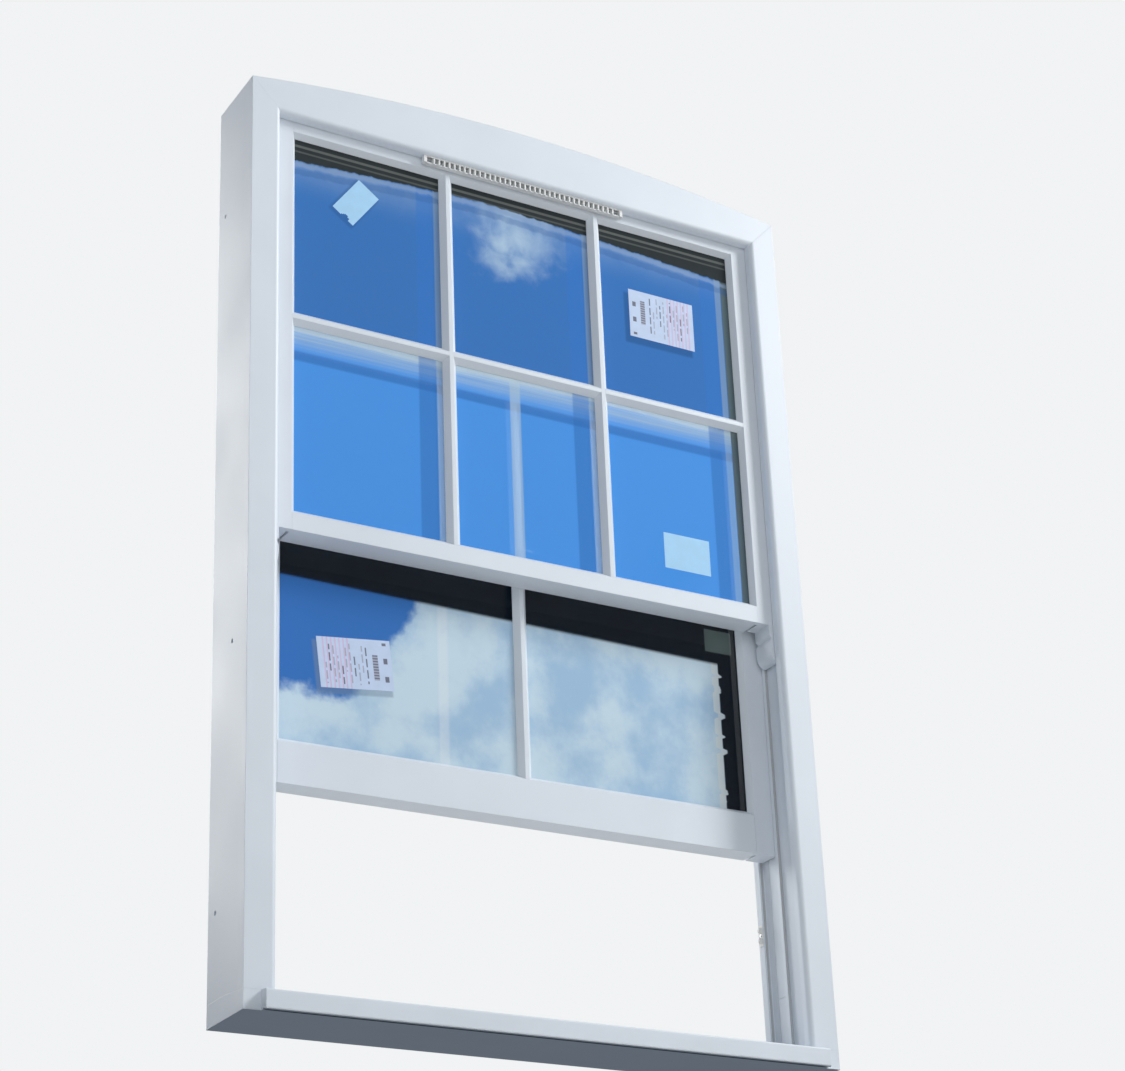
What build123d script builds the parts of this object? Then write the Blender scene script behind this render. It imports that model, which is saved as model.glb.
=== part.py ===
# White painted timber sash window with a cambered head: a solid box frame, two sliding sashes,
# double glazed, hung on spiral balances.
# Millimetres. X runs along the window, +Y goes into the room, +Z is up. The origin is under the
# middle of the cill, halfway through the window's depth.
import os

from build123d import *

# Overall
frame_width = 1100.0
spring_height = 1672.0  # underside of the cill to the outer top corners
head_rise = 42.0  # rise of the cambered head above those corners

# Frame sections
lining_width = 55.0
lining_thickness = 20.0
lining_lap = 12.0  # a lining stands this far past the jamb face and holds the sash in
lining_bead = 9.0  # radius of the rounded inner edge of the linings
head_lining_drop = 57.5  # lower edge of the head lining below the outer top corners
run_clearance = 1.0  # in front of and behind each sash
side_clearance = 3.0  # between a sash and the jamb
top_clearance = 3.0  # between the upper sash and the head
parting_thickness = 8.0
parting_stand = 6.0  # a parting bead stands this far off the jamb
parting_seat = 7.0  # and is let into it this far
staff_depth = 20.0
staff_stand = 11.0
staff_round = 8.0

# Cill
cill_nosing = 18.0  # in front of the linings
nosing_return = 30.0  # the nosing stops this far short of the ends of the cill
cill_front_height = 31.0
cill_seat_height = 39.0
nosing_round = 3.0
drip_radius = 3.0
drip_inset = 9.0  # from the front of the cill to the middle of the drip groove
draught_bead_height = 24.0
sash_seat_gap = 2.0  # under the closed lower sash

# Sashes
sash_thickness = 44.0
stile_width = 49.0
top_rail = 36.5
meeting_rail = 40.0  # of the upper sash
lower_meeting_rail = 38.0
bottom_rail = 80.0
meeting_height = 820.0  # underside of the upper sash's meeting rail
meeting_step = 11.0  # the closed lower sash stands this much above that rail
raised = 356.0  # how far the lower sash stands open
putty_width = 8.0  # the bevel round the glass, across
putty_depth = 11.0  # and from the face back to the glass
rebate = 13.0  # from the sight line out to the bottom of the glazing rebate
splay_fall = 3.0  # slope of the splayed meeting faces over a rail's height
splay_gap = 1.5
horn_length = 70.0
horn_width = 18.0
horn_straight = 20.0
horn_quirk = 4.5

# Glazing
pane_thickness = 4.0
cavity = 14.0
edge_clearance = 3.0  # from the glass edge to the rebate
spacer_width = 11.0
bar_width = 27.0
bar_face = 8.0  # flat front of a glazing bar
inner_bar_stand = 9.0
upper_columns = 3
upper_rows = 2
lower_columns = 2
bead_bevel = 5.0

# Trickle vent
grille_length = 420.0
grille_height = 14.0
grille_depth = 10.0
grille_inset = 8.0  # from the face of the lining back to the grille
grille_end = 6.0
fin_pitch = 10.5
fin_thickness = 3.0
grille_tongue = 6.0
grille_rail = 2.0
vent_slot_height = 12.0
vent_slot_length = 330.0
vent_rise = 17.0  # from the head soffit up to the slot
vent_body_length = 360.0
vent_body_height = 26.0
vent_body_depth = 12.0
vent_wall = 3.0
vent_pin = 2.6
vent_clearance = 0.4
flap_thickness = 2.2
flap_lip_length = 40.0

# Spiral balances
tube_diameter = 15.0
tube_bore = 13.0
tube_drop = 10.0  # from the head soffit down to the tubes
tube_cap = 6.0
rod_diameter = 7.0
nut_flange = 14.0
nut_flange_height = 4.0
nut_spigot = 12.4
nut_spigot_height = 9.0
nut_bore = 7.8
nut_gap = 0.4
balance_groove = 18.0  # width of the groove in the edge of a stile
balance_groove_depth = 15.0
foot_height = 14.0
foot_socket = 8.0
foot_floor = 6.0  # timber left under the foot of a balance
rod_end_gap = 53.5  # over the rods of the closed upper sash, inside their tubes
raised_head_gap = 55.5  # from the fully raised lower sash to the soffit
rod_spare = 40.0  # rod left in the nut at full travel
travel_spare = 12.0  # left between a foot and its nut when the sash is up
balance_screw = 4.0
balance_screw_head = 8.0
balance_screw_head_height = 1.6
balance_screw_drop = 15.0
balance_screw_length = 34.0

# Hardware
fastener_length = 62.0
fastener_width = 24.0
fastener_plate = 3.0
fastener_boss = 18.0
fastener_boss_height = 6.0
fastener_pin = 6.0
lever_thickness = 5.0
lever_hub = 18.0
lever_width = 11.0
lever_reach = 37.0
lever_tail_width = 8.0
lever_play = 0.4
knob_reach = 26.0
knob_diameter = 12.0
knob_height = 12.0
knob_bevel = 2.5
rivet_head = 10.0
rivet_height = 2.0
rivet_bevel = 1.2
keep_width = 34.0
keep_depth = 10.5
keep_inset = 1.5  # behind the inner pane
keep_plate = 2.5
keep_wall = 5.0
keep_roof = 3.0
keep_headroom = 1.0  # over the arm of the lever
keep_slot_play = 2.0  # beside it
lift_width = 46.0
lift_height = 34.0
lift_plate = 3.0
lift_reach = 22.0
lift_lip = 14.0
lift_round = 9.0  # of the finger hollow
lift_floor = 4.0  # left under the hollow
lift_above_rail_foot = 40.0
lift_spacing = 520.0
stop_height = 263.0
stop_pitch = 19.0
stop_lobe = 11.0
stop_reach = 5.0
stop_bevel = 3.0
stop_plate = 1.5
stop_width = 12.0

# Seals and fixings
pile_width = 4.8
pile_stand = 0.7
pile_seat = 3.0
fixing_hole = 8.0
fixing_from_end = 180.0  # first and last hole, in the lower sash's channel
outer_fixing_height = 620.0  # a third in the upper sash's channel, under the horn
fixing_from_bead = 6.0
seam_from_staff = 15.0  # upright seam in the jamb, in front of the staff bead
foot_joint_height = 143.0  # joint line low on the right jamb
joint_width = 1.2
joint_depth = 0.8

# Places that follow from the sizes
half_width = frame_width / 2
lining_edge = half_width - lining_width
jamb_face = lining_edge + lining_lap
head_edge = spring_height - head_lining_drop
soffit = head_edge + lining_lap
sash_edge = jamb_face - side_clearance
sight = sash_edge - stile_width

box_depth = (
    lining_thickness + 4 * run_clearance + 2 * sash_thickness + parting_thickness + staff_depth
)
overall_depth = cill_nosing + box_depth + vent_body_depth
cill_front = -overall_depth / 2
face = cill_front + cill_nosing
lining_back = face + lining_thickness
upper_front = lining_back + run_clearance
upper_back = upper_front + sash_thickness
parting_front = upper_back + run_clearance
parting_back = parting_front + parting_thickness
lower_front = parting_back + run_clearance
lower_back = lower_front + sash_thickness
staff_front = lower_back + run_clearance
staff_back = staff_front + staff_depth

upper_top = soffit - top_clearance
upper_sight_top = upper_top - top_rail
upper_sight_foot = meeting_height + meeting_rail
closed_foot = cill_seat_height + sash_seat_gap
closed_top = upper_sight_foot + meeting_step
lower_foot = closed_foot + raised
lower_top = closed_top + raised
lower_sight_foot = lower_foot + bottom_rail
lower_sight_top = lower_top - lower_meeting_rail

balance_x = jamb_face - tube_diameter / 2
tube_top = soffit - tube_drop
bore_top = tube_top - tube_cap - balance_screw_drop
rod_foot = meeting_height + foot_floor + foot_height - foot_socket
upper_travel = bore_top - rod_end_gap - rod_foot - foot_socket - travel_spare - rod_spare
lower_travel = soffit - raised_head_gap - closed_top


def along_x(points, x_from, x_to):
    """A straight piece of the given (y, z) section."""
    section = Plane.YZ * Polygon(*points, align=None)
    return Pos(x_from, 0, 0) * extrude(section, x_to - x_from, dir=(1, 0, 0))


def upright(points, z_from, z_to):
    """An upright piece of the given (x, y) section."""
    section = Polygon(*points, align=None)
    return Pos(0, 0, z_from) * extrude(section, z_to - z_from, dir=(0, 0, 1))


def block(x_from, x_to, y_from, y_to, z_from, z_to):
    size = Box(x_to - x_from, y_to - y_from, z_to - z_from, align=(Align.MIN,) * 3)
    return Pos(x_from, y_from, z_from) * size


def rod_z(x, y, z_from, z_to, diameter):
    base = (Align.CENTER, Align.CENTER, Align.MIN)
    return Pos(x, y, z_from) * Cylinder(diameter / 2, z_to - z_from, align=base)


def rod_x(x_from, x_to, y, z, diameter):
    base = (Align.CENTER, Align.CENTER, Align.MIN)
    return Pos(x_from, y, z) * Rot(0, 90, 0) * Cylinder(diameter / 2, x_to - x_from, align=base)


def mirrored(shape):
    return mirror(shape, about=Plane.YZ)


def edges_at(shape, axis, test):
    return [edge for edge in shape.edges().filter_by(axis) if test(edge.center())]


def head_shape(y_from, y_to, z_foot, foot_half):
    """Cambered on top, straight underneath, with ends that slope in to foot_half."""
    with BuildPart() as piece:
        with BuildSketch(Plane.XZ.offset(-y_to)):
            with BuildLine():
                Polyline(
                    (half_width, spring_height),
                    (foot_half, z_foot),
                    (-foot_half, z_foot),
                    (-half_width, spring_height),
                )
                ThreePointArc(
                    (-half_width, spring_height),
                    (0, spring_height + head_rise),
                    (half_width, spring_height),
                )
            make_face()
        extrude(amount=y_to - y_from, dir=(0, -1, 0))
    return piece.part


# Frame
def make_cill():
    top_slope_end = parting_back
    section = [
        (cill_front, 0),
        (staff_back, 0),
        (staff_back, cill_seat_height),
        (top_slope_end, cill_seat_height),
        (cill_front, cill_front_height),
    ]
    cill = along_x(section, -half_width, half_width)
    nose = edges_at(cill, Axis.X, lambda c: abs(c.Y - cill_front) < 0.01)
    cill = fillet(nose, nosing_round)
    cill = cill - rod_x(-half_width, half_width, cill_front + drip_inset, 0, 2 * drip_radius)
    end = block(
        half_width - nosing_return,
        half_width + 1,
        cill_front - 1,
        face,
        -1,
        cill_seat_height + 1,
    )
    return cill - end - mirrored(end)


def cill_height(y):
    """Height of the weathered top of the cill."""
    slope = (cill_seat_height - cill_front_height) / (parting_back - cill_front)
    return min(cill_seat_height, cill_front_height + slope * (y - cill_front))


def on_cill(section, z_top):
    """An upright piece that is cut at its foot to the slope of the cill."""
    rows = [y for _, y in section]
    back, front = max(rows), min(rows)
    low = cill_height(front) - 1
    slope = [
        (front - 1, low - 50),
        (back + 1, low - 50),
        (back + 1, cill_height(back)),
        (max(front, min(parting_back, back)), cill_height(max(front, min(parting_back, back)))),
        (front, cill_height(front)),
        (front - 1, cill_height(front)),
    ]
    return upright(section, low, z_top) - along_x(slope, -frame_width, frame_width)


def make_jamb(side):
    section = [
        (jamb_face, lining_back),
        (half_width, lining_back),
        (half_width, staff_back),
        (jamb_face, staff_back),
    ]
    jamb = on_cill(section, soffit)
    jamb -= block(
        jamb_face - 1, jamb_face + parting_seat, parting_front, parting_back, 0, spring_height
    )
    for y, z in (
        (lower_back - fixing_from_bead, fixing_from_end),
        (lower_back - fixing_from_bead, soffit - fixing_from_end),
        (upper_back - fixing_from_bead, outer_fixing_height),
    ):
        jamb -= rod_x(jamb_face - 1, half_width + 1, y, z, fixing_hole)
    for screw in make_tube_screws():
        jamb -= screw
    seam = staff_front - seam_from_staff
    groove = (jamb_face - 1, jamb_face + joint_depth)
    jamb -= block(*groove, seam - joint_width, seam, 0, spring_height)
    if side == "right":
        joint_top = foot_joint_height + joint_width
        jamb -= block(*groove, lower_front, seam, foot_joint_height, joint_top)
        return jamb
    return mirrored(jamb)


def make_outer_lining():
    face_outline = [
        (lining_edge, cill_height(face) - 1),
        (half_width, cill_height(face) - 1),
        (half_width, spring_height),
        (lining_edge, head_edge),
    ]
    outline = Plane.XZ.offset(-lining_back) * Polygon(*face_outline, align=None)
    lining = extrude(outline, lining_thickness, dir=(0, -1, 0))
    inner_front = edges_at(
        lining, Axis.Z, lambda c: abs(c.X - lining_edge) < 0.01 and abs(c.Y - face) < 0.01
    )
    lining = fillet(inner_front, lining_bead)
    slope = [
        (face - 1, 0),
        (lining_back + 1, 0),
        (lining_back + 1, cill_height(lining_back + 1)),
        (face - 1, cill_height(face - 1)),
    ]
    return lining - along_x(slope, 0, frame_width)


def make_head_lining():
    lining = head_shape(face, lining_back, head_edge, lining_edge)
    inner_front = edges_at(
        lining, Axis.X, lambda c: abs(c.Z - head_edge) < 0.01 and abs(c.Y - face) < 0.01
    )
    lining = fillet(inner_front, lining_bead)
    # the way up behind the lining from the grille to the slot through the head
    way = block(
        -grille_length / 2,
        grille_length / 2,
        face + grille_inset,
        lining_back,
        head_edge - 1,
        soffit + vent_rise + vent_slot_height,
    )
    return lining - way


def make_head():
    head = head_shape(lining_back, staff_back, soffit, half_width)
    reach = jamb_face - parting_stand
    head -= block(-reach, reach, parting_front, parting_back, soffit - 1, soffit + parting_seat)
    slot_foot = soffit + vent_rise
    return head - block(
        -vent_slot_length / 2,
        vent_slot_length / 2,
        lining_back - 1,
        staff_back + 1,
        slot_foot,
        slot_foot + vent_slot_height,
    )


def make_parting_bead():
    section = [
        (jamb_face - parting_stand, parting_front),
        (jamb_face + parting_seat, parting_front),
        (jamb_face + parting_seat, parting_back),
        (jamb_face - parting_stand, parting_back),
    ]
    return on_cill(section, soffit)


def make_parting_bead_head():
    reach = jamb_face - parting_stand
    section = [
        (parting_front, soffit - parting_stand),
        (parting_back, soffit - parting_stand),
        (parting_back, soffit + parting_seat),
        (parting_front, soffit + parting_seat),
    ]
    return along_x(section, -reach, reach)


def make_staff_bead():
    section = [
        (jamb_face - staff_stand, staff_front),
        (jamb_face, staff_front),
        (jamb_face, staff_back),
        (jamb_face - staff_stand, staff_back),
    ]
    bead = upright(section, cill_seat_height, soffit)
    corner = edges_at(
        bead,
        Axis.Z,
        lambda c: abs(c.X - section[3][0]) < 0.01 and abs(c.Y - staff_back) < 0.01,
    )
    return fillet(corner, staff_round)


def make_staff_bead_head():
    reach = jamb_face - staff_stand
    section = [
        (staff_front, soffit - staff_stand),
        (staff_back, soffit - staff_stand),
        (staff_back, soffit),
        (staff_front, soffit),
    ]
    bead = along_x(section, -reach, reach)
    corner = edges_at(
        bead, Axis.X, lambda c: abs(c.Y - staff_back) < 0.01 and abs(c.Z - section[0][1]) < 0.01
    )
    return fillet(corner, staff_round)


def make_draught_bead():
    reach = jamb_face - staff_stand
    top = cill_seat_height + draught_bead_height
    section = [
        (staff_front, cill_seat_height),
        (staff_back, cill_seat_height),
        (staff_back, top),
        (staff_front, top),
    ]
    bead = along_x(section, -reach, reach)
    corner = edges_at(bead, Axis.X, lambda c: abs(c.Y - staff_back) < 0.01 and abs(c.Z - top) < 0.01)
    return fillet(corner, staff_round)


def make_parting_seals():
    """Pile strips on both faces of the parting beads."""
    middle = jamb_face - parting_stand / 2
    z_from = cill_seat_height + pile_seat
    z_to = soffit - parting_stand
    strips = []
    for y_from, y_to in (
        (parting_front - pile_stand, parting_front),
        (parting_back, parting_back + pile_stand),
    ):
        strip = block(
            middle - pile_width / 2, middle + pile_width / 2, y_from, y_to, z_from, z_to
        )
        strips += [strip, mirrored(strip)]
    return strips


def make_staff_seals():
    middle = jamb_face - staff_stand / 2
    strip = block(
        middle - pile_width / 2,
        middle + pile_width / 2,
        staff_front - pile_stand,
        staff_front,
        cill_seat_height + pile_seat,
        soffit - staff_stand,
    )
    return [strip, mirrored(strip)]


# Trickle vent
def make_vent_grille():
    """A comb of upright fins between two end blocks, hung under the lining by a tongue."""
    front = face + grille_inset
    back = front + grille_depth
    foot = head_edge - grille_height
    reach = grille_length / 2
    rail_foot = head_edge - grille_rail
    comb = block(-reach, reach, front, back, rail_foot, head_edge + grille_tongue)
    comb -= block(
        -reach + grille_end,
        reach - grille_end,
        front + grille_rail,
        back - grille_rail,
        rail_foot - 1,
        head_edge + grille_tongue + 1,
    )
    comb += block(-reach, reach, front + grille_rail, back, foot, foot + grille_rail)
    for side in (1, -1):
        x_in = side * (reach - grille_end)
        comb += block(
            min(x_in, side * reach), max(x_in, side * reach), front, back, foot, head_edge
        )
    count = int((grille_length - 2 * grille_end) // fin_pitch)
    for index in range(1, count):
        x_fin = (index - count / 2) * fin_pitch
        comb += block(
            x_fin - fin_thickness / 2, x_fin + fin_thickness / 2, front, back, foot, head_edge
        )
    return comb


vent_slot_middle = soffit + vent_rise + vent_slot_height / 2
vent_foot = vent_slot_middle - vent_body_height / 2
flap_axis_y = staff_back + vent_body_depth - vent_wall
flap_axis_z = vent_foot + vent_wall + vent_pin


def make_vent_body():
    reach = vent_body_length / 2
    top = vent_foot + vent_body_height
    body = block(-reach, reach, staff_back, staff_back + vent_body_depth, vent_foot, top)
    body -= block(
        -reach + vent_wall,
        reach - vent_wall,
        staff_back + vent_wall,
        staff_back + vent_body_depth + 1,
        vent_foot + vent_wall,
        top - vent_wall,
    )
    body -= block(
        -vent_slot_length / 2,
        vent_slot_length / 2,
        staff_back - 1,
        staff_back + vent_wall + 1,
        vent_slot_middle - vent_slot_height / 2,
        vent_slot_middle + vent_slot_height / 2,
    )
    pin_hole = vent_pin + 2 * vent_clearance
    return body - rod_x(-reach - 1, reach + 1, flap_axis_y, flap_axis_z, pin_hole)


def make_vent_flap():
    reach = vent_body_length / 2 - vent_wall - vent_clearance
    top = vent_foot + vent_body_height - vent_wall - 2 * vent_clearance
    flap = block(
        -reach,
        reach,
        flap_axis_y - flap_thickness / 2,
        flap_axis_y + flap_thickness / 2,
        flap_axis_z,
        top,
    )
    flap += rod_x(-reach, reach, flap_axis_y, flap_axis_z, vent_pin + vent_clearance)
    flap += rod_x(-reach - vent_wall, reach + vent_wall, flap_axis_y, flap_axis_z, vent_pin)
    # a finger lip along the top edge
    half_lip = flap_lip_length / 2
    lip_back = flap_axis_y + vent_wall
    return flap + block(-half_lip, half_lip, flap_axis_y, lip_back, top - vent_wall, top)


# Balances
def balance_y(sash_front):
    return sash_front + sash_thickness / 2


nut_height = {
    "upper": meeting_height + foot_floor + foot_height + travel_spare,
    "lower": closed_foot + foot_floor + foot_height + lower_travel + travel_spare,
}
foot_level = {"upper": meeting_height + foot_floor, "lower": lower_foot + foot_floor}
sash_front_of = {"upper": upper_front, "lower": lower_front}
rod_length = {"upper": upper_travel + rod_spare, "lower": lower_travel + rod_spare}


def make_tubes(sash):
    """A capped steel tube for each jamb; it hangs from the top of the frame."""
    y = balance_y(sash_front_of[sash])
    z_from = nut_height[sash] + nut_flange_height + nut_gap
    tube = rod_z(balance_x, y, z_from, tube_top, tube_diameter)
    tube -= rod_z(balance_x, y, z_from, bore_top, tube_bore)
    screw_z = tube_top - balance_screw_drop
    tube -= rod_x(balance_x - tube_diameter, jamb_face, y, screw_z, balance_screw)
    return [tube, mirrored(tube)]


def make_tube_screws():
    screws = []
    for sash in ("upper", "lower"):
        y = balance_y(sash_front_of[sash])
        z = tube_top - balance_screw_drop
        start = balance_x - tube_diameter / 2
        screw = rod_x(start, start + balance_screw_length, y, z, balance_screw)
        screw += rod_x(start - balance_screw_head_height, start, y, z, balance_screw_head)
        screws += [screw, mirrored(screw)]
    return screws


def make_nut(sash, side):
    """The nylon nut that the spiral rod turns as it passes."""
    y = balance_y(sash_front_of[sash])
    z = nut_height[sash]
    flange = extrude(RegularPolygon(nut_flange / 2, 6), nut_flange_height)
    nut = Pos(balance_x, y, z) * flange
    spigot_foot = z + nut_flange_height - 1
    nut += rod_z(balance_x, y, spigot_foot, spigot_foot + nut_spigot_height, nut_spigot)
    nut -= rod_z(balance_x, y, z - 1, z + nut_spigot_height + nut_flange_height, nut_bore)
    return nut if side == "right" else mirrored(nut)


def make_rods(sash):
    y = balance_y(sash_front_of[sash])
    z = foot_level[sash] + foot_height - foot_socket
    rod = rod_z(balance_x, y, z, z + foot_socket + travel_spare + rod_length[sash], rod_diameter)
    return [rod, mirrored(rod)]


def make_feet(sash):
    """Blocks at the foot of each groove that hold the rods."""
    y = balance_y(sash_front_of[sash])
    z = foot_level[sash]
    half_groove = balance_groove / 2
    foot = block(
        sash_edge - balance_groove_depth,
        sash_edge,
        y - half_groove,
        y + half_groove,
        z,
        z + foot_height,
    )
    foot -= rod_z(balance_x, y, z + foot_height - foot_socket, z + foot_height + 1, rod_diameter)
    return [foot, mirrored(foot)]


# Sashes
def make_stile(front, z_from, z_to, groove_foot):
    """A right-hand stile, its glass side bevelled, with a groove for the balance in its edge."""
    back = front + sash_thickness
    section = [
        (sash_edge, front),
        (sight + putty_width, front),
        (sight, front + putty_depth),
        (sight + rebate, front + putty_depth),
        (sight + rebate, back),
        (sash_edge, back),
    ]
    stile = upright(section, z_from, z_to)
    middle = balance_y(front)
    return stile - block(
        sash_edge - balance_groove_depth,
        sash_edge + 1,
        middle - balance_groove / 2,
        middle + balance_groove / 2,
        groove_foot,
        z_to + 1,
    )


def horn_outline():
    """Front view of a horn: straight, quirk and round, from the rail down to its outer edge."""
    inner = sash_edge - horn_width
    straight_foot = meeting_height - horn_straight
    quirk = (inner + horn_quirk, straight_foot - horn_quirk)
    round_top = (inner, quirk[1] - 2 * horn_quirk)
    foot = meeting_height - horn_length
    with BuildSketch(Plane.XZ.offset(-upper_back)) as outline:
        with BuildLine():
            Polyline((sash_edge, meeting_height), (inner, meeting_height), (inner, straight_foot))
            Line((inner, straight_foot), quirk)
            TangentArc(quirk, round_top, tangent=(-0.6, -1))
            Spline(round_top, (sash_edge, foot), tangents=((0, -1), (1, 0)))
            Line((sash_edge, foot), (sash_edge, meeting_height))
        make_face()
    return outline.sketch


def make_upper_stile():
    stile = make_stile(upper_front, meeting_height, upper_top, foot_level["upper"])
    horn = extrude(horn_outline(), sash_thickness, dir=(0, -1, 0))
    return stile + horn


def make_lower_stile():
    return make_stile(lower_front, lower_foot, lower_top, foot_level["lower"])


def rail_section(front, sight_z, far_z, back_near, back_far):
    """Section of a rail: bevel and rebate at sight_z, plain edge at far_z."""
    out = 1 if far_z > sight_z else -1
    return [
        (front, far_z),
        (front, sight_z + out * putty_width),
        (front + putty_depth, sight_z),
        (front + putty_depth, sight_z + out * rebate),
        (back_near, sight_z + out * rebate),
        (back_far, far_z),
    ]


def make_rail(section, stile):
    """A rail scribed over the bevels of the two stiles."""
    reach = sight + putty_width
    rail = along_x(section, -reach, reach)
    return rail - stile - mirrored(stile)


def splay(z, closed_lift):
    """Depth of the middle of the splayed joint between the meeting rails."""
    middle = (upper_back + lower_front) / 2
    centre_height = meeting_height + meeting_rail / 2
    return middle + splay_fall * (centre_height - (z - closed_lift)) / meeting_rail


def make_top_rail(stile):
    section = rail_section(upper_front, upper_sight_top, upper_top, upper_back, upper_back)
    return make_rail(section, stile)


def make_upper_meeting_rail(stile):
    near_z = upper_sight_foot - rebate
    section = rail_section(
        upper_front,
        upper_sight_foot,
        meeting_height,
        splay(near_z, 0) - splay_gap / 2,
        splay(meeting_height, 0) - splay_gap / 2,
    )
    return make_rail(section, stile)


def make_lower_meeting_rail(stile):
    top_y = splay(lower_top, raised) + splay_gap / 2
    foot_y = splay(lower_sight_top, raised) + splay_gap / 2
    section = [
        (top_y, lower_top),
        (foot_y, lower_sight_top + putty_width),
        (lower_front, lower_sight_top + putty_width),
        (lower_front + putty_depth, lower_sight_top),
        (lower_front + putty_depth, lower_sight_top + rebate),
        (lower_back, lower_sight_top + rebate),
        (lower_back, lower_top),
    ]
    return make_rail(section, stile)


def make_bottom_rail(stile):
    section = rail_section(lower_front, lower_sight_foot, lower_foot, lower_back, lower_back)
    return make_rail(section, stile)


def pane(y, z_foot, z_top):
    reach = sight + rebate - edge_clearance
    over = rebate - edge_clearance
    return block(-reach, reach, y, y + pane_thickness, z_foot - over, z_top + over)


def make_spacer(front, z_foot, z_top):
    y = front + putty_depth + pane_thickness
    over = rebate - edge_clearance
    reach = sight + over
    outer = block(-reach, reach, y, y + cavity, z_foot - over, z_top + over)
    reach -= spacer_width
    over -= spacer_width
    return outer - block(-reach, reach, y - 1, y + cavity + 1, z_foot - over, z_top + over)


def make_beads(front, z_foot, z_top):
    """Glazing beads behind the glass: two uprights and two lengths between them."""
    y_from = front + putty_depth + 2 * pane_thickness + cavity
    y_to = front + sash_thickness
    upright_section = [
        (sight, y_from),
        (sight + rebate, y_from),
        (sight + rebate, y_to),
        (sight + bead_bevel, y_to),
    ]
    side = upright(upright_section, z_foot - rebate, z_top + rebate)
    beads = [side, mirrored(side)]
    reach = sight + rebate
    for z_sight, out in ((z_foot, -1), (z_top, 1)):
        section = [
            (y_from, z_sight),
            (y_from, z_sight + out * rebate),
            (y_to, z_sight + out * rebate),
            (y_to, z_sight + out * bead_bevel),
        ]
        length = along_x(section, -reach, reach) - side - mirrored(side)
        beads.append(length)
    return beads


def bar_section(glass_y, stand, toward):
    """Half widths and depths of a glazing bar that stands off the glass."""
    tip = glass_y + toward * stand
    return [
        (-bar_width / 2, glass_y),
        (bar_width / 2, glass_y),
        (bar_face / 2, tip),
        (-bar_face / 2, tip),
    ]


def upright_bar(x, section, z_foot, z_top, over):
    """A glazing bar that runs over the bevels at both ends, to be scribed to them."""
    return upright([(x + across, y) for across, y in section], z_foot - over, z_top + over)


def bar_centres(columns):
    clear = (2 * sight - (columns - 1) * bar_width) / columns
    return [
        -sight + (index + 1) * clear + (index + 0.5) * bar_width for index in range(columns - 1)
    ]


def transom_heights():
    clear = (upper_sight_top - upper_sight_foot - (upper_rows - 1) * bar_width) / upper_rows
    return [
        upper_sight_foot + (index + 1) * clear + (index + 0.5) * bar_width
        for index in range(upper_rows - 1)
    ]


def cross_bar(z, section, frame_parts, over):
    """A bar along X, scribed to whatever it runs into."""
    bar = along_x([(y, z + across) for across, y in section], -sight - over, sight + over)
    for part in frame_parts:
        bar -= part
    return bar


def outer_glass_y(front):
    return front + putty_depth


def inner_glass_y(front):
    return front + putty_depth + 2 * pane_thickness + cavity


def trimmed(bar, parts):
    for part in parts:
        bar -= part
    return bar


# Hardware
def make_fastener_base():
    y = (lower_front + lower_back) / 2
    plate = Pos(0, y, lower_top) * extrude(
        SlotOverall(fastener_length, fastener_width), fastener_plate
    )
    top = lower_top + fastener_plate + fastener_boss_height
    base = plate + rod_z(0, y, lower_top, top, fastener_boss)
    return base + rod_z(0, y, top - 1, top + lever_thickness + 2 * lever_play, fastener_pin)


lever_foot = lower_top + fastener_plate + fastener_boss_height + lever_play
keep_top = lever_foot - raised + lever_thickness + keep_headroom + keep_roof


def make_lever():
    """Hub, locking arm and knob. Undone, the arm lies along the rail."""
    y = (lower_front + lower_back) / 2
    hub = rod_z(0, y, lever_foot, lever_foot + lever_thickness, lever_hub)
    arm = block(
        0,
        lever_reach - lever_width / 2,
        y - lever_width / 2,
        y + lever_width / 2,
        lever_foot,
        lever_foot + lever_thickness,
    )
    tip = rod_z(
        lever_reach - lever_width / 2, y, lever_foot, lever_foot + lever_thickness, lever_width
    )
    half_tail = lever_tail_width / 2
    lever_top = lever_foot + lever_thickness
    tail = block(-knob_reach, 0, y - half_tail, y + half_tail, lever_foot, lever_top)
    stem = rod_z(-knob_reach, y, lever_foot, lever_foot + knob_height, knob_diameter)
    lever = hub + arm + tip + tail + stem
    rim = [e for e in lever.edges() if abs(e.center().Z - lever_foot - knob_height) < 0.01]
    lever = chamfer(rim, knob_bevel)
    return lever - rod_z(
        0, y, lever_foot - 1, lever_foot + lever_thickness + 1, fastener_pin + 2 * lever_play
    )


def make_rivet():
    y = (lower_front + lower_back) / 2
    z = lever_foot + lever_thickness + lever_play
    crown = Cone(
        rivet_head / 2,
        rivet_head / 2 - rivet_bevel,
        rivet_height,
        align=(Align.CENTER, Align.CENTER, Align.MIN),
    )
    return Pos(0, y, z) * crown


def keep_seat():
    """Space that the keep takes up, let into the bead on the meeting rail."""
    y_from = inner_glass_y(upper_front) + keep_inset
    reach = keep_width / 2
    return block(-reach, reach, y_from, y_from + keep_depth, upper_sight_foot - rebate, keep_top)


def make_keep():
    """A hooked plate, open on the side that the lever's arm turns in from."""
    y_from = inner_glass_y(upper_front) + keep_inset
    y_to = y_from + keep_depth
    reach = keep_width / 2
    slot = lever_width / 2 + keep_slot_play
    arm_gap = (upper_sight_foot + keep_plate, keep_top - keep_roof)
    keep = keep_seat()
    keep -= block(-slot, reach + 1, y_from - 1, y_to + 1, *arm_gap)
    return keep - block(
        -reach - 1, -slot - keep_wall, y_from - 1, y_to + 1, arm_gap[0], keep_top + 1
    )


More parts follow.
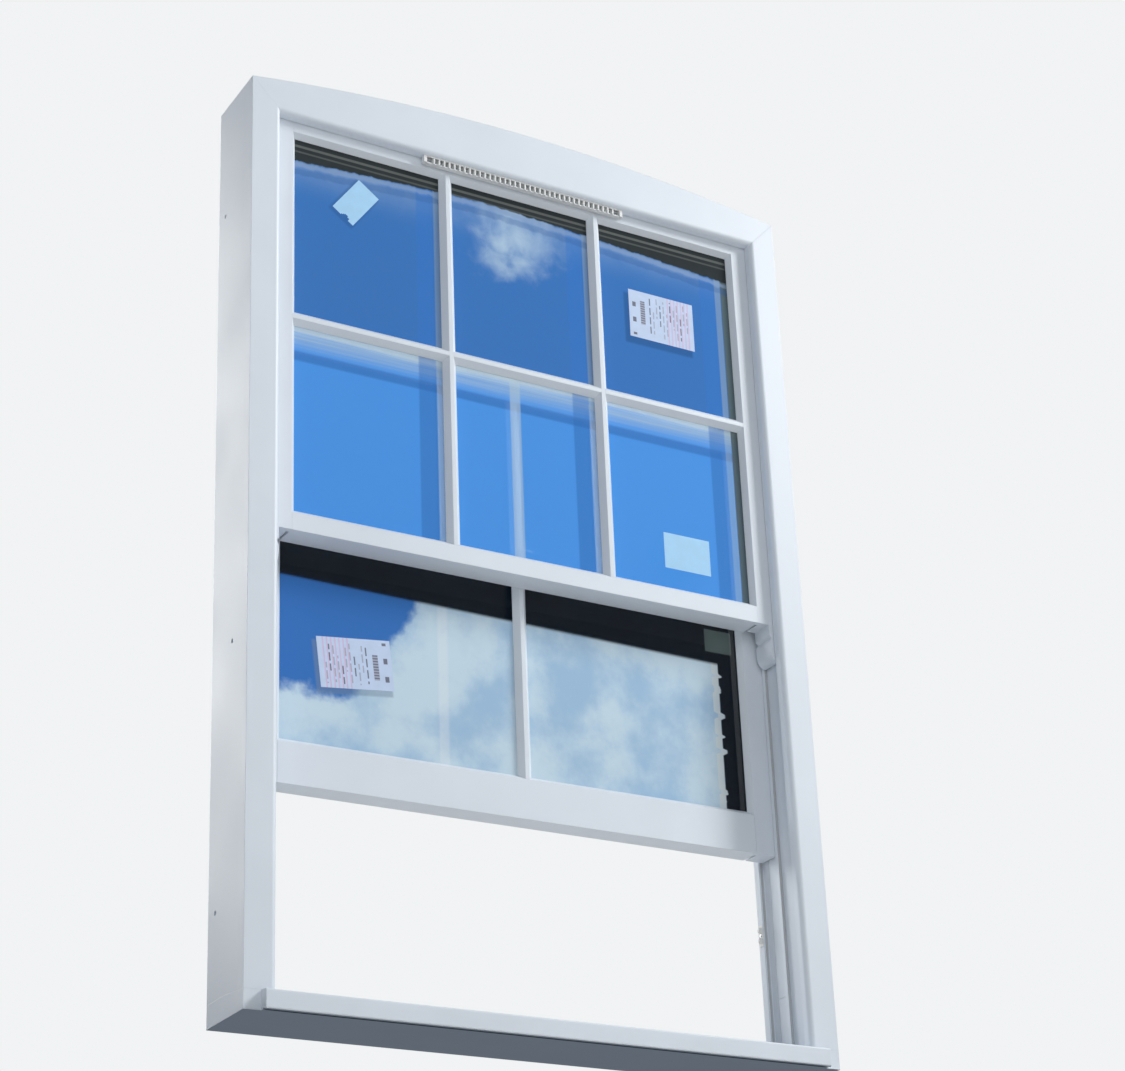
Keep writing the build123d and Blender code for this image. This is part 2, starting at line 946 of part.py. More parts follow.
def make_lift(side):
    """A hooked finger lift on the inside of the bottom rail."""
    z = lower_foot + lift_above_rail_foot
    y = lower_back
    back = y + lift_reach
    with BuildPart() as hook:
        with BuildSketch(Plane.YZ):
            with BuildLine():
                Polyline(
                    (y + lift_round, z),
                    (y, z),
                    (y, z + lift_height),
                    (y + lift_plate, z + lift_height),
                    (y + lift_plate, z + lift_round),
                )
                ThreePointArc(
                    (y + lift_plate, z + lift_round),
                    (y + lift_reach / 2, z + lift_floor),
                    (back - lift_plate, z + lift_round),
                )
                Polyline(
                    (back - lift_plate, z + lift_round),
                    (back - lift_plate, z + lift_lip),
                    (back, z + lift_lip),
                    (back, z + lift_round),
                )
                ThreePointArc(
                    (back, z + lift_round),
                    (y + 0.75 * lift_reach, z + lift_round / 6),
                    (y + lift_round, z),
                )
            make_face()
        extrude(amount=lift_width / 2, both=True)
    return Pos(side * lift_spacing / 2, 0, 0) * hook.part


def make_stops():
    """A plate on each staff bead with two rounded lugs that stand into the opening."""
    x = jamb_face - staff_stand
    y = staff_front + stop_width / 2
    plate_foot = stop_height - stop_pitch
    stop = block(
        x - stop_plate,
        x,
        staff_front,
        staff_front + stop_width,
        plate_foot,
        plate_foot + 2 * stop_pitch,
    )
    for level in (-0.5, 0.5):
        z = stop_height + level * stop_pitch
        lobe = Pos(x - stop_plate, y, z) * Rot(0, -90, 0) * Cylinder(
            stop_lobe / 2, stop_reach, align=(Align.CENTER, Align.CENTER, Align.MIN)
        )
        rim = [e for e in lobe.edges() if e.center().X < x - stop_plate - stop_reach + 1]
        stop += chamfer(rim, stop_bevel)
    return [stop, mirrored(stop)]


def write(node, shapes):
    """One STEP file for a node: one solid, or a group of like pieces."""
    solids = []
    for shape in shapes if isinstance(shapes, list) else [shapes]:
        solids += shape.solids()
    content = solids[0] if len(solids) == 1 else Compound(children=solids)
    content.label = node
    export_step(content, os.path.join("parts", node + ".step"))


def write_pair(stem, right):
    write(stem + "_right", right)
    write(stem + "_left", mirrored(right))


os.makedirs("parts", exist_ok=True)

# The frame
write("cill", make_cill())
write("jamb_right", make_jamb("right"))
write("jamb_left", make_jamb("left"))
write("head", make_head())
write("head_lining", make_head_lining())
write_pair("outer_lining", make_outer_lining())
write_pair("parting_bead", make_parting_bead())
write("parting_bead_head", make_parting_bead_head())
write_pair("staff_bead", make_staff_bead())
write("staff_bead_head", make_staff_bead_head())
write("draught_bead", make_draught_bead())
write("parting_seals", make_parting_seals())
write("staff_seals", make_staff_seals())
write("vent_grille", make_vent_grille())
write("vent_body", make_vent_body())
write("vent_flap", make_vent_flap())
write("sash_stops", make_stops())
write("balance_screws", make_tube_screws())
for sash_name in ("upper", "lower"):
    write(sash_name + "_balance_tubes", make_tubes(sash_name))
    write(sash_name + "_balance_rods", make_rods(sash_name))
    write(sash_name + "_balance_feet", make_feet(sash_name))
    for side_name in ("right", "left"):
        write(sash_name + "_balance_nut_" + side_name, make_nut(sash_name, side_name))

# The upper sash
upper_stile = make_upper_stile()
upper_rails = {
    "upper_top_rail": make_top_rail(upper_stile),
    "upper_meeting_rail": make_upper_meeting_rail(upper_stile),
}
write_pair("upper_stile", upper_stile)
for name, rail in upper_rails.items():
    write(name, rail)
write("upper_glass_outer", pane(outer_glass_y(upper_front), upper_sight_foot, upper_sight_top))
write(
    "upper_glass_inner",
    pane(inner_glass_y(upper_front) - pane_thickness, upper_sight_foot, upper_sight_top),
)
write("upper_spacer", make_spacer(upper_front, upper_sight_foot, upper_sight_top))
upper_beads = [
    bead - keep_seat() for bead in make_beads(upper_front, upper_sight_foot, upper_sight_top)
]
write("upper_glazing_beads", upper_beads)

outer_section = bar_section(outer_glass_y(upper_front), putty_depth, -1)
surround = [upper_stile, mirrored(upper_stile), *upper_rails.values()]
outer_bars = [
    trimmed(
        upright_bar(x, outer_section, upper_sight_foot, upper_sight_top, putty_width), surround
    )
    for x in bar_centres(upper_columns)
]
write("upper_bar_left", outer_bars[0])
write("upper_bar_right", outer_bars[-1])
write(
    "upper_transom_bar",
    [cross_bar(z, outer_section, surround + outer_bars, putty_width) for z in transom_heights()],
)
inner_section = bar_section(inner_glass_y(upper_front), inner_bar_stand, 1)
inner_bars = [
    trimmed(
        upright_bar(x, inner_section, upper_sight_foot, upper_sight_top, bead_bevel), upper_beads
    )
    for x in bar_centres(upper_columns)
]
inner_transoms = [
    cross_bar(z, inner_section, upper_beads + inner_bars, bead_bevel) for z in transom_heights()
]
write("upper_inner_bars", inner_bars + inner_transoms)
write("fastener_keep", make_keep())

# The lower sash
lower_stile = make_lower_stile()
lower_rails = {
    "lower_meeting_rail": make_lower_meeting_rail(lower_stile),
    "lower_bottom_rail": make_bottom_rail(lower_stile),
}
write_pair("lower_stile", lower_stile)
for name, rail in lower_rails.items():
    write(name, rail)
write("lower_glass_outer", pane(outer_glass_y(lower_front), lower_sight_foot, lower_sight_top))
write(
    "lower_glass_inner",
    pane(inner_glass_y(lower_front) - pane_thickness, lower_sight_foot, lower_sight_top),
)
write("lower_spacer", make_spacer(lower_front, lower_sight_foot, lower_sight_top))
lower_beads = make_beads(lower_front, lower_sight_foot, lower_sight_top)
write("lower_glazing_beads", lower_beads)
lower_outer_section = bar_section(outer_glass_y(lower_front), putty_depth, -1)
lower_inner_section = bar_section(inner_glass_y(lower_front), inner_bar_stand, 1)
lower_surround = [lower_stile, mirrored(lower_stile), *lower_rails.values()]
for x_bar in bar_centres(lower_columns):
    span = (lower_sight_foot, lower_sight_top)
    outer_bar = upright_bar(x_bar, lower_outer_section, *span, putty_width)
    inner_bar = upright_bar(x_bar, lower_inner_section, *span, bead_bevel)
    write("lower_bar", trimmed(outer_bar, lower_surround))
    write("lower_inner_bar", trimmed(inner_bar, lower_beads))
write("fastener_base", make_fastener_base())
write("fastener_rivet", make_rivet())
write("fastener_lever", make_lever())
write("sash_lift_right", make_lift(1))
write("sash_lift_left", make_lift(-1))
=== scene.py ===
# %% [markdown]
# # A painted sash window
#
# The window is joinery: a softwood frame with two sashes that slide past each other, sprayed with
# a satin white paint. Everything with a size of its own was drawn as solids, which are loaded here
# as a fixed frame. What is left for Blender is what the eye meets first: the paint, the sky in
# the glass, the paper labels still on the panes, the twisted rods and the screws.

# %% Load the solids
import math

import bpy
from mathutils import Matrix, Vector


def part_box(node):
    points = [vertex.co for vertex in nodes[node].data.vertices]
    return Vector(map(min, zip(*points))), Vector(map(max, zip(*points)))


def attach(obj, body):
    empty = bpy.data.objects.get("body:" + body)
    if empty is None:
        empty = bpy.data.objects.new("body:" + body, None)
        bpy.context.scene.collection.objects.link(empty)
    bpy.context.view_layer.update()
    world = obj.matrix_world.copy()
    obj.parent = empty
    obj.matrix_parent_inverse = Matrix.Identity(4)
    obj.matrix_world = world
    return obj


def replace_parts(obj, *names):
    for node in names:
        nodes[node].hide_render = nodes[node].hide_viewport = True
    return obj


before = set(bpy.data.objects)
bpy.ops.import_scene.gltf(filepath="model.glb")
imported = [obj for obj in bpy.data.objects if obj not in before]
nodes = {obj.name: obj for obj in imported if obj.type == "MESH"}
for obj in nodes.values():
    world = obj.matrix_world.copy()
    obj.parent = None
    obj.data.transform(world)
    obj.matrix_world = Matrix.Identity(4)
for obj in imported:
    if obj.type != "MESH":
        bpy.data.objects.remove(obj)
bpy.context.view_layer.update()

# %% [markdown]
# ## Small helpers
#
# Colours are picked as sRGB hex values, as in any paint program, but a shader works with linear
# light, so one function turns the one into the other. Another adds a node to a material, with
# its settings and its inputs, so that each material below reads as a short list.

# %% Colours, nodes and selections
def linear(code):
    """An sRGB hex colour as linear red, green, blue and alpha."""
    parts = [int(code[i:i + 2], 16) / 255 for i in (1, 3, 5)]
    return [p / 12.92 if p <= 0.04045 else ((p + 0.055) / 1.055) ** 2.4 for p in parts] + [1.0]


def add_node(tree, kind, settings=(), inputs=()):
    """Adds a node; an input takes a value or another node's output."""
    node = tree.nodes.new(kind)
    for name, value in dict(settings).items():
        setattr(node, name, value)
    for key, value in dict(inputs).items():
        if isinstance(value, bpy.types.NodeSocket):
            tree.links.new(value, node.inputs[key])
        else:
            node.inputs[key].default_value = value
    return node


def new_material(name, **sockets):
    """An empty material with one Principled shader; returns it with its tree and shader."""
    material = bpy.data.materials.new(name)
    material.use_nodes = True
    tree = material.node_tree
    shader = tree.nodes["Principled BSDF"]
    for key, value in sockets.items():
        shader.inputs[key.replace("_", " ")].default_value = value
    return material, tree, shader


def select_only(piece):
    bpy.ops.object.select_all(action="DESELECT")
    piece.select_set(True)
    bpy.context.view_layer.objects.active = piece


def finish_piece(piece, name, body, slot, *materials):
    """Puts a finished piece's place into its mesh, gives it its materials and lets it ride."""
    select_only(piece)
    bpy.ops.object.transform_apply(location=True, rotation=True, scale=True)
    piece.name = piece.data.name = name
    for index, material in enumerate(materials):
        if index < len(piece.data.materials):
            piece.data.materials[index] = material
        else:
            piece.data.materials.append(material)
    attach(piece, body)
    return piece


# %% [markdown]
# ## The camera
#
# The photograph was taken from below the cill and from the left, and its uprights lean
# together because the camera looks up. The position was worked out from the window's own
# edges, so the solids fall on the photograph's lines. The lens is long, and the picture is a crop
# from above the middle of the frame, which a small vertical shift gives.

# %% Camera
camera_place = (-2.0543, -3.5392, -0.9885)
camera_turn = (113.0013, 2.1928, -30.1175)
focal_pixels = 2563.66
photo_width = 1125
photo_height = 1071
optical_axis_row = 625

camera_data = bpy.data.cameras.new("camera")
camera = bpy.data.objects.new("camera", camera_data)
bpy.context.scene.collection.objects.link(camera)
camera.location = camera_place
camera.rotation_euler = [math.radians(angle) for angle in camera_turn]
camera_data.sensor_width = 36
camera_data.lens = camera_data.sensor_width * focal_pixels / photo_width
camera_data.shift_y = (optical_axis_row - photo_height / 2) / photo_width
bpy.context.scene.camera = camera
print("lens", round(camera_data.lens, 1), "mm, shift", round(camera_data.shift_y, 3))

# %% [markdown]
# ## Floor, light and background
#
# A plain pale studio. The key lamp stands to the right, in front and above, as the sky did: it
# brightens the top and the right bevels of the bars and throws the right lining's shadow on the
# jamb. A weak wide lamp on the left keeps the fronts open, and one behind lights the room side.
# Both front lamps stand outside what the panes mirror to the camera. The photograph looks up from
# below the window's foot, so the floor lets camera rays through from its underside. Further off
# the floor fades into the background, so no view has a horizon.

# %% Studio
floor_colour = linear("#DEDAD4")
background_colour = linear("#F1F3F4")

bpy.ops.mesh.primitive_circle_add(vertices=96, radius=14, fill_type="NGON",
                                  location=(0, 0, 0.0005))
floor = bpy.context.active_object
floor.name = "studio_floor"
floor_material, tree, shader = new_material("matt pale floor", Base_Color=floor_colour,
                                            Roughness=0.9)
light_path = add_node(tree, "ShaderNodeLightPath")
geometry = add_node(tree, "ShaderNodeNewGeometry")
from_below = add_node(tree, "ShaderNodeMath", {"operation": "MULTIPLY"},
                      {0: light_path.outputs["Is Camera Ray"], 1: geometry.outputs["Backfacing"]})
place = add_node(tree, "ShaderNodeTexCoord").outputs["Object"]
far_off = add_node(tree, "ShaderNodeVectorMath", {"operation": "LENGTH"}, {0: place})
fade = add_node(tree, "ShaderNodeMapRange", {"interpolation_type": "SMOOTHSTEP"}, {
    "Value": far_off.outputs["Value"], "From Min": 1.2, "From Max": 5.0})
fade_share = add_node(tree, "ShaderNodeMath", {"operation": "MULTIPLY"}, {
    0: fade.outputs[0], 1: light_path.outputs["Is Camera Ray"]})
backdrop = add_node(tree, "ShaderNodeEmission", {}, {"Color": background_colour})
faded = add_node(tree, "ShaderNodeMixShader", {}, {0: fade_share.outputs[0],
                                                   1: shader.outputs[0], 2: backdrop.outputs[0]})
clear = add_node(tree, "ShaderNodeBsdfTransparent")
mixed = add_node(tree, "ShaderNodeMixShader", {}, {0: from_below.outputs[0],
                                                   1: faded.outputs[0], 2: clear.outputs[0]})
tree.links.new(mixed.outputs[0], tree.nodes["Material Output"].inputs["Surface"])
floor.data.materials.append(floor_material)


def area_lamp(name, place, aim, size, power):
    lamp = bpy.data.lights.new(name, "AREA")
    lamp.shape = "DISK"
    lamp.size = size
    lamp.energy = power
    holder = bpy.data.objects.new(name, lamp)
    bpy.context.scene.collection.objects.link(holder)
    holder.location = place
    direction = Vector(aim) - Vector(place)
    holder.rotation_euler = direction.to_track_quat("-Z", "Y").to_euler()
    return holder


middle = (0, 0, 0.9)
area_lamp("key_lamp", (4.4, -2.7, 4.2), middle, 2.0, 300)
area_lamp("fill_lamp", (-1.6, -3.4, 2.0), middle, 2.4, 33)
area_lamp("room_lamp", (-1.5, 4.5, 3.0), middle, 3.0, 150)

world = bpy.data.worlds.new("studio")
bpy.context.scene.world = world
world.use_nodes = True
tree = world.node_tree
tree.nodes.clear()
light_path = add_node(tree, "ShaderNodeLightPath")
fill = add_node(tree, "ShaderNodeBackground", {}, {"Color": linear("#D6E2F0"), "Strength": 0.22})
plain = add_node(tree, "ShaderNodeBackground", {}, {"Color": background_colour, "Strength": 1.0})
seen = add_node(tree, "ShaderNodeMath", {"operation": "MAXIMUM"},
                {0: light_path.outputs["Is Camera Ray"],
                 1: light_path.outputs["Is Transmission Ray"]})
mixed = add_node(tree, "ShaderNodeMixShader", {}, {0: seen.outputs[0], 1: fill.outputs[0],
                                                   2: plain.outputs[0]})
add_node(tree, "ShaderNodeOutputWorld", {}, {"Surface": mixed.outputs[0]})
bpy.context.scene.view_settings.view_transform = "Standard"

# %% [markdown]
# ## Paint on timber
#
# Joinery paint is sprayed on in three thin coats. It rounds the sharp edges of the wood by about
# a millimetre, leaves a very fine orange peel, and lets a little of the grain show as a
# soft ribbing along each piece. The rounding comes from a Bevel node, so the solids keep their
# mesh, and the peel and the grain are bump. Grain runs along a piece, so uprights and rails get
# the same paint with the grain stretched along Z or along X.

# %% Satin paint
def satin_paint(name, colour, grain_along):
    """Sprayed satin paint; its bump is made of grain lines about 4 mm apart and fine peel."""
    material, tree, shader = new_material(name, IOR=1.46)
    place = add_node(tree, "ShaderNodeTexCoord").outputs["Object"]
    stretch = {"X": (6, 250, 250), "Z": (250, 250, 6)}[grain_along]
    stretched = add_node(tree, "ShaderNodeMapping", {}, {"Vector": place, "Scale": stretch})
    grain = add_node(tree, "ShaderNodeTexNoise", {}, {"Vector": stretched.outputs[0],
                                                      "Scale": 1.0, "Detail": 3.0})
    peel = add_node(tree, "ShaderNodeTexNoise", {}, {"Vector": place, "Scale": 700.0,
                                                     "Detail": 1.0})
    patches = add_node(tree, "ShaderNodeTexNoise", {}, {"Vector": place, "Scale": 7.0,
                                                        "Detail": 3.0})
    edges = add_node(tree, "ShaderNodeBevel", {"samples": 6}, {"Radius": 0.0012})
    ribbed = add_node(tree, "ShaderNodeBump", {}, {
        "Strength": 0.08, "Distance": 0.0003, "Height": grain.outputs[0],
        "Normal": edges.outputs[0]})
    peeled = add_node(tree, "ShaderNodeBump", {}, {
        "Strength": 0.12, "Distance": 0.0001, "Height": peel.outputs[0],
        "Normal": ribbed.outputs[0]})
    tone = add_node(tree, "ShaderNodeMapRange", {}, {
        "Value": patches.outputs[0], "From Min": 0.3, "From Max": 0.7,
        "To Min": 0.965, "To Max": 1.0})
    shade = add_node(tree, "ShaderNodeHueSaturation", {}, {"Color": linear(colour),
                                                           "Value": tone.outputs[0]})
    gloss = add_node(tree, "ShaderNodeMapRange", {}, {
        "Value": patches.outputs[0], "From Min": 0.3, "From Max": 0.7,
        "To Min": 0.42, "To Max": 0.50})
    tree.links.new(shade.outputs[0], shader.inputs["Base Color"])
    tree.links.new(gloss.outputs[0], shader.inputs["Roughness"])
    tree.links.new(peeled.outputs[0], shader.inputs["Normal"])
    return material


upright_paint = satin_paint("satin white paint, upright grain", "#DFE7F0", "Z")
rail_paint = satin_paint("satin white paint, level grain", "#DFE7F0", "X")


def dress(material, *names):
    """Gives the named solids a material."""
    for name in names:
        for material_slot in nodes[name].material_slots:
            material_slot.material = material


dress(rail_paint, "cill", "head", "head_lining", "parting_bead_head", "staff_bead_head",
      "draught_bead", "upper_top_rail", "upper_meeting_rail", "upper_transom_bar",
      "lower_meeting_rail", "lower_bottom_rail")
for side in ("left", "right"):
    dress(upright_paint, "jamb_" + side, "outer_lining_" + side, "parting_bead_" + side,
          "staff_bead_" + side, "upper_stile_" + side, "lower_stile_" + side,
          "upper_bar_" + side)
dress(upright_paint, "lower_bar", "lower_inner_bar", "upper_inner_bars", "upper_glazing_beads",
      "lower_glazing_beads")
print("paints:", upright_paint.name, rail_paint.name)

# %% [markdown]
# ## Glass that holds the sky
#
# Seen from the street a window pane is a weak mirror in front of a room. What it mirrors here is
# a clear blue sky, lower down a bank of cloud, and along its top the dark underside of the head.
# The studio has no sky, so the reflection is laid on the front of the outer panes as a thin film
# of colour. It covers more where the sky is deep and less in the lower row, where the raised
# lower sash stands behind and shows through. From the room there is no film, only clear glass,
# and light for the room passes through, as it does in a real pane. The film already is the
# mirror image, so the shader's own gloss is turned down.

# %% A film of sky on clear glass
glass_gloss = 0.12
clear_cover = 0.05


def film_glass(name, pane_name):
    """A glass material with the pane's X and Z as outputs, ready for a film."""
    material, tree, shader = new_material(name, Roughness=0.03, IOR=1.5,
                                          Specular_IOR_Level=glass_gloss)
    nodes[pane_name].visible_shadow = False
    place = add_node(tree, "ShaderNodeTexCoord").outputs["Object"]
    split = add_node(tree, "ShaderNodeSeparateXYZ", {}, {0: place})
    low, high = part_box(pane_name)
    on_front = add_node(tree, "ShaderNodeMath", {"operation": "LESS_THAN"},
                        {0: split.outputs[1], 1: low.y + 0.3 * (high.y - low.y)})
    back = add_node(tree, "ShaderNodeNewGeometry").outputs["Backfacing"]
    from_street = add_node(tree, "ShaderNodeMath", {"operation": "SUBTRACT", "use_clamp": True},
                           {0: on_front.outputs[0], 1: back})
    return material, tree, shader, place, split, from_street.outputs[0]


def soft_band(tree, value, low, high, soft):
    """1 between low and high, and falling to 0 over a soft edge on both sides."""
    rise = add_node(tree, "ShaderNodeMapRange", {"interpolation_type": "SMOOTHSTEP"}, {
        "Value": value, "From Min": low - soft, "From Max": low})
    fall = add_node(tree, "ShaderNodeMapRange", {"interpolation_type": "SMOOTHSTEP"}, {
        "Value": value, "From Min": high + soft, "From Max": high})
    both = add_node(tree, "ShaderNodeMath", {"operation": "MULTIPLY"}, {
        0: rise.outputs[0], 1: fall.outputs[0]})
    return both.outputs[0]


def coats(tree, colour, layers):
    """Lays colours over one another; each layer is its strength, its cover and its colour."""
    for strength, cover, paint in layers:
        share = add_node(tree, "ShaderNodeMath", {"operation": "MULTIPLY", "use_clamp": True}, {
            0: cover, 1: strength})
        colour = add_node(tree, "ShaderNodeMix", {"data_type": "RGBA"}, {
            0: share.outputs[0], 6: colour, 7: paint}).outputs[2]
    return colour


def soft_box(tree, place, centre, size, turn, soft):
    """1 inside a turned rectangle on the pane, with soft edges."""
    local = add_node(tree, "ShaderNodeMapping", {"vector_type": "TEXTURE"}, {
        "Vector": place, "Location": (centre[0], 0, centre[1]),
        "Rotation": (0, math.radians(-turn), 0)})
    split = add_node(tree, "ShaderNodeSeparateXYZ", {}, {0: local.outputs[0]})
    across = soft_band(tree, split.outputs[0], -size[0] / 2, size[0] / 2, soft)
    upward = soft_band(tree, split.outputs[2], -size[1] / 2, size[1] / 2, soft)
    both = add_node(tree, "ShaderNodeMath", {"operation": "MULTIPLY"}, {0: across, 1: upward})
    return both.outputs[0]


def lay_film(tree, shader, cover, from_street):
    """Connects a film's cover; every face but its own is clear glass."""
    alpha = add_node(tree, "ShaderNodeMapRange", {}, {
        "Value": from_street, "To Min": clear_cover, "To Max": cover})
    tree.links.new(alpha.outputs[0], shader.inputs["Alpha"])


# %% [markdown]
# ## The sky in the upper panes
#
# The film is painted from the far to the near: the blue first, then haze and one small cloud,
# then the brighter blue of the lower row, and last the dark underside of the head and the
# mirrored edges. Each layer is a strength, a soft mask and a colour, and the list keeps the order
# of painting. Noise makes the edges of the masks uneven, as clouds and shadows are.

# %% Colours and places of the upper film
sky_deep = linear("#3D78C0")
sky_bright = linear("#54A6FF")
sky_shade = linear("#3A7BCC")
sky_haze = linear("#9DB9D6")
# painted pale light: the thin cloud, and the streaks, line and stripe under the transom
painted_pale_light = linear("#C4DCEC")
head_shade = linear("#343A3C")
head_line = linear("#6C716E")
head_rim = linear("#8FA6C8")
edge_glint = linear("#9DB4C6")
edge_shade = linear("#5E6E70")
label_shade = linear("#2C5A94")
under_shade = linear("#33609F")
row_softness = 0.004

transom_low, transom_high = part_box("upper_transom_bar")
upper_glass_low, upper_glass_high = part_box("upper_glass_outer")
bar_half = (transom_high.z - transom_low.z) / 2
transom_middle = transom_low.z + bar_half
bar_middles = [(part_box(bar)[0].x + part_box(bar)[1].x) / 2
               for bar in ("upper_bar_left", "upper_bar_right")]
stile_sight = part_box("upper_stile_right")[0].x

upper_film, tree, shader, place, split, from_street = film_glass(
    "sky reflected in the upper panes", "upper_glass_outer")
across, height = split.outputs[0], split.outputs[2]
lower_row = add_node(tree, "ShaderNodeMapRange", {}, {
    "Value": height, "From Min": transom_middle + row_softness,
    "From Max": transom_middle - row_softness})
print("upper film: lower row under z", round(transom_middle, 3))

# %% Haze below the top of the glass
haze_foot = 0.13
haze_full = 0.02
wisps = add_node(tree, "ShaderNodeTexNoise", {}, {"Vector": place, "Scale": 9.0, "Detail": 6.0,
                                                  "Distortion": 0.8})
haze_height = add_node(tree, "ShaderNodeMapRange", {"interpolation_type": "SMOOTHSTEP"}, {
    "Value": height, "From Min": upper_glass_high.z - haze_foot,
    "From Max": upper_glass_high.z - haze_full})
haze = add_node(tree, "ShaderNodeMath", {"operation": "MULTIPLY"}, {
    0: haze_height.outputs[0], 1: wisps.outputs[0]})
print("haze starts", haze_foot, "m under the top of the glass")

# %% The dark underside of the head
# its edge is a shallow arch with a ragged pale rim, and two thin level lines cross it
head_edge_top = 1.562
head_edge_middle = -0.08
head_edge_fall = -0.065
head_edge_bend = 1.15
rag_depth = 0.010
lit_line_low = 1.5735
lit_line_high = 1.5765
lower_line_low = 1.5630
lower_line_high = 1.5645
line_softness = 0.002

fine_noise = add_node(tree, "ShaderNodeTexNoise", {}, {"Vector": place, "Scale": 60.0,
                                                       "Detail": 4.0})
off_middle = add_node(tree, "ShaderNodeMath", {"operation": "SUBTRACT"}, {
    0: across, 1: head_edge_middle})
either_side = add_node(tree, "ShaderNodeMath", {"operation": "ABSOLUTE"}, {
    0: off_middle.outputs[0]})
bent = add_node(tree, "ShaderNodeMath", {"operation": "POWER"}, {
    0: either_side.outputs[0], 1: head_edge_bend})
head_edge = add_node(tree, "ShaderNodeMath", {"operation": "MULTIPLY_ADD"}, {
    0: bent.outputs[0], 1: head_edge_fall, 2: head_edge_top})
above_edge = add_node(tree, "ShaderNodeMath", {"operation": "SUBTRACT"}, {
    0: height, 1: head_edge.outputs[0]})
ragged = add_node(tree, "ShaderNodeMath", {"operation": "MULTIPLY_ADD"}, {
    0: fine_noise.outputs[0], 1: rag_depth, 2: above_edge.outputs[0]})
in_head = add_node(tree, "ShaderNodeMapRange", {"interpolation_type": "SMOOTHSTEP"}, {
    "Value": ragged.outputs[0], "From Min": 0.005, "From Max": 0.009})
rim = soft_band(tree, ragged.outputs[0], -0.002, 0.002, 0.004)
under_rim = soft_band(tree, ragged.outputs[0], -0.018, -0.010, 0.005)
lit_line = soft_band(tree, height, lit_line_low, lit_line_high, line_softness)
lower_line = soft_band(tree, height, lower_line_low, lower_line_high, line_softness)
low_line_share = add_node(tree, "ShaderNodeMath", {"operation": "MULTIPLY"}, {
    0: lower_line, 1: in_head.outputs[0]})
print("head's edge at z", head_edge_top, "falls towards both sides")

# %% One small cloud
# high in the middle pane, with a tail to its left
cloud_wander = 0.13
cloud_puffs = (((-0.005, 1.508), 0.060), ((-0.05, 1.475), 0.040))
cloud_covers = []
for (cloud_x, cloud_z), cloud_size in cloud_puffs:
    away = add_node(tree, "ShaderNodeVectorMath", {"operation": "DISTANCE"}, {
        0: place, 1: (cloud_x, upper_glass_low.y, cloud_z)})
    torn = add_node(tree, "ShaderNodeTexNoise", {}, {"Vector": place, "Scale": 22.0,
                                                     "Detail": 4.0, "Distortion": 0.3})
    inside = add_node(tree, "ShaderNodeMath", {"operation": "MULTIPLY_ADD"}, {
        0: torn.outputs[0], 1: cloud_wander, 2: cloud_size - cloud_wander / 2})
    depth = add_node(tree, "ShaderNodeMath", {"operation": "SUBTRACT"}, {
        0: inside.outputs[0], 1: away.outputs["Value"]})
    cover = add_node(tree, "ShaderNodeMapRange", {"interpolation_type": "SMOOTHSTEP"}, {
        "Value": depth.outputs[0], "From Min": -0.045, "From Max": 0.075})
    cloud_covers.append(cover.outputs[0])
print("puffs of cloud:", len(cloud_covers))

# %% Streaks and a stripe in the lower row
# under the transom the row pales in level streaks and a thin pale line, all painted light, and
# ends in a band of deeper blue, a painted shade; a pale stripe of painted light stands in its
# middle pane, as if the lower sash's upright bar showed through
transom_foot = transom_low.z
paling_depth = 0.046
streak_stretch = (3, 3, 260)
stripe_middle = -0.024
stripe_half = 0.009

streak_place = add_node(tree, "ShaderNodeMapping", {}, {"Vector": place, "Scale": streak_stretch})
streaks = add_node(tree, "ShaderNodeTexNoise", {}, {"Vector": streak_place.outputs[0],
                                                    "Scale": 1.0, "Detail": 2.0})
paling = add_node(tree, "ShaderNodeMapRange", {}, {
    "Value": height, "From Min": transom_foot - paling_depth, "From Max": transom_foot - 0.002})
streaked = add_node(tree, "ShaderNodeMath", {"operation": "MULTIPLY"}, {
    0: paling.outputs[0], 1: streaks.outputs[0]})
streak_share = add_node(tree, "ShaderNodeMath", {"operation": "MULTIPLY"}, {
    0: streaked.outputs[0], 1: lower_row.outputs[0]})
pale_line = soft_band(tree, height, transom_foot - 0.006, transom_foot - 0.003, 0.002)
deep_band = soft_band(tree, height, transom_foot - 0.062, transom_foot - 0.050, 0.006)
stripe = soft_band(tree, across, stripe_middle - stripe_half, stripe_middle + stripe_half,
                   0.003)
stripe_share = add_node(tree, "ShaderNodeMath", {"operation": "MULTIPLY"}, {
    0: stripe, 1: lower_row.outputs[0]})
print("stripe at x", stripe_middle)

# %% Laying the upper film
# a label's shade: its strength, and the middle, size and turn of the shade on the pane
label_shades = (
    (0.65, (0.292, 1.401), (0.142, 0.100), 0),
    (0.4, (-0.340, 1.486), (0.050, 0.086), -37),
)
shade_softness = 0.006
# each pane mirrors its own right edge: a darker blue strip, then a pale line at its border
strip_far = 0.044
strip_near = 0.014
glint_width = 0.010
right_pane_edge = stile_sight - 0.018
deep_cover = 0.99
row_cover = 0.8

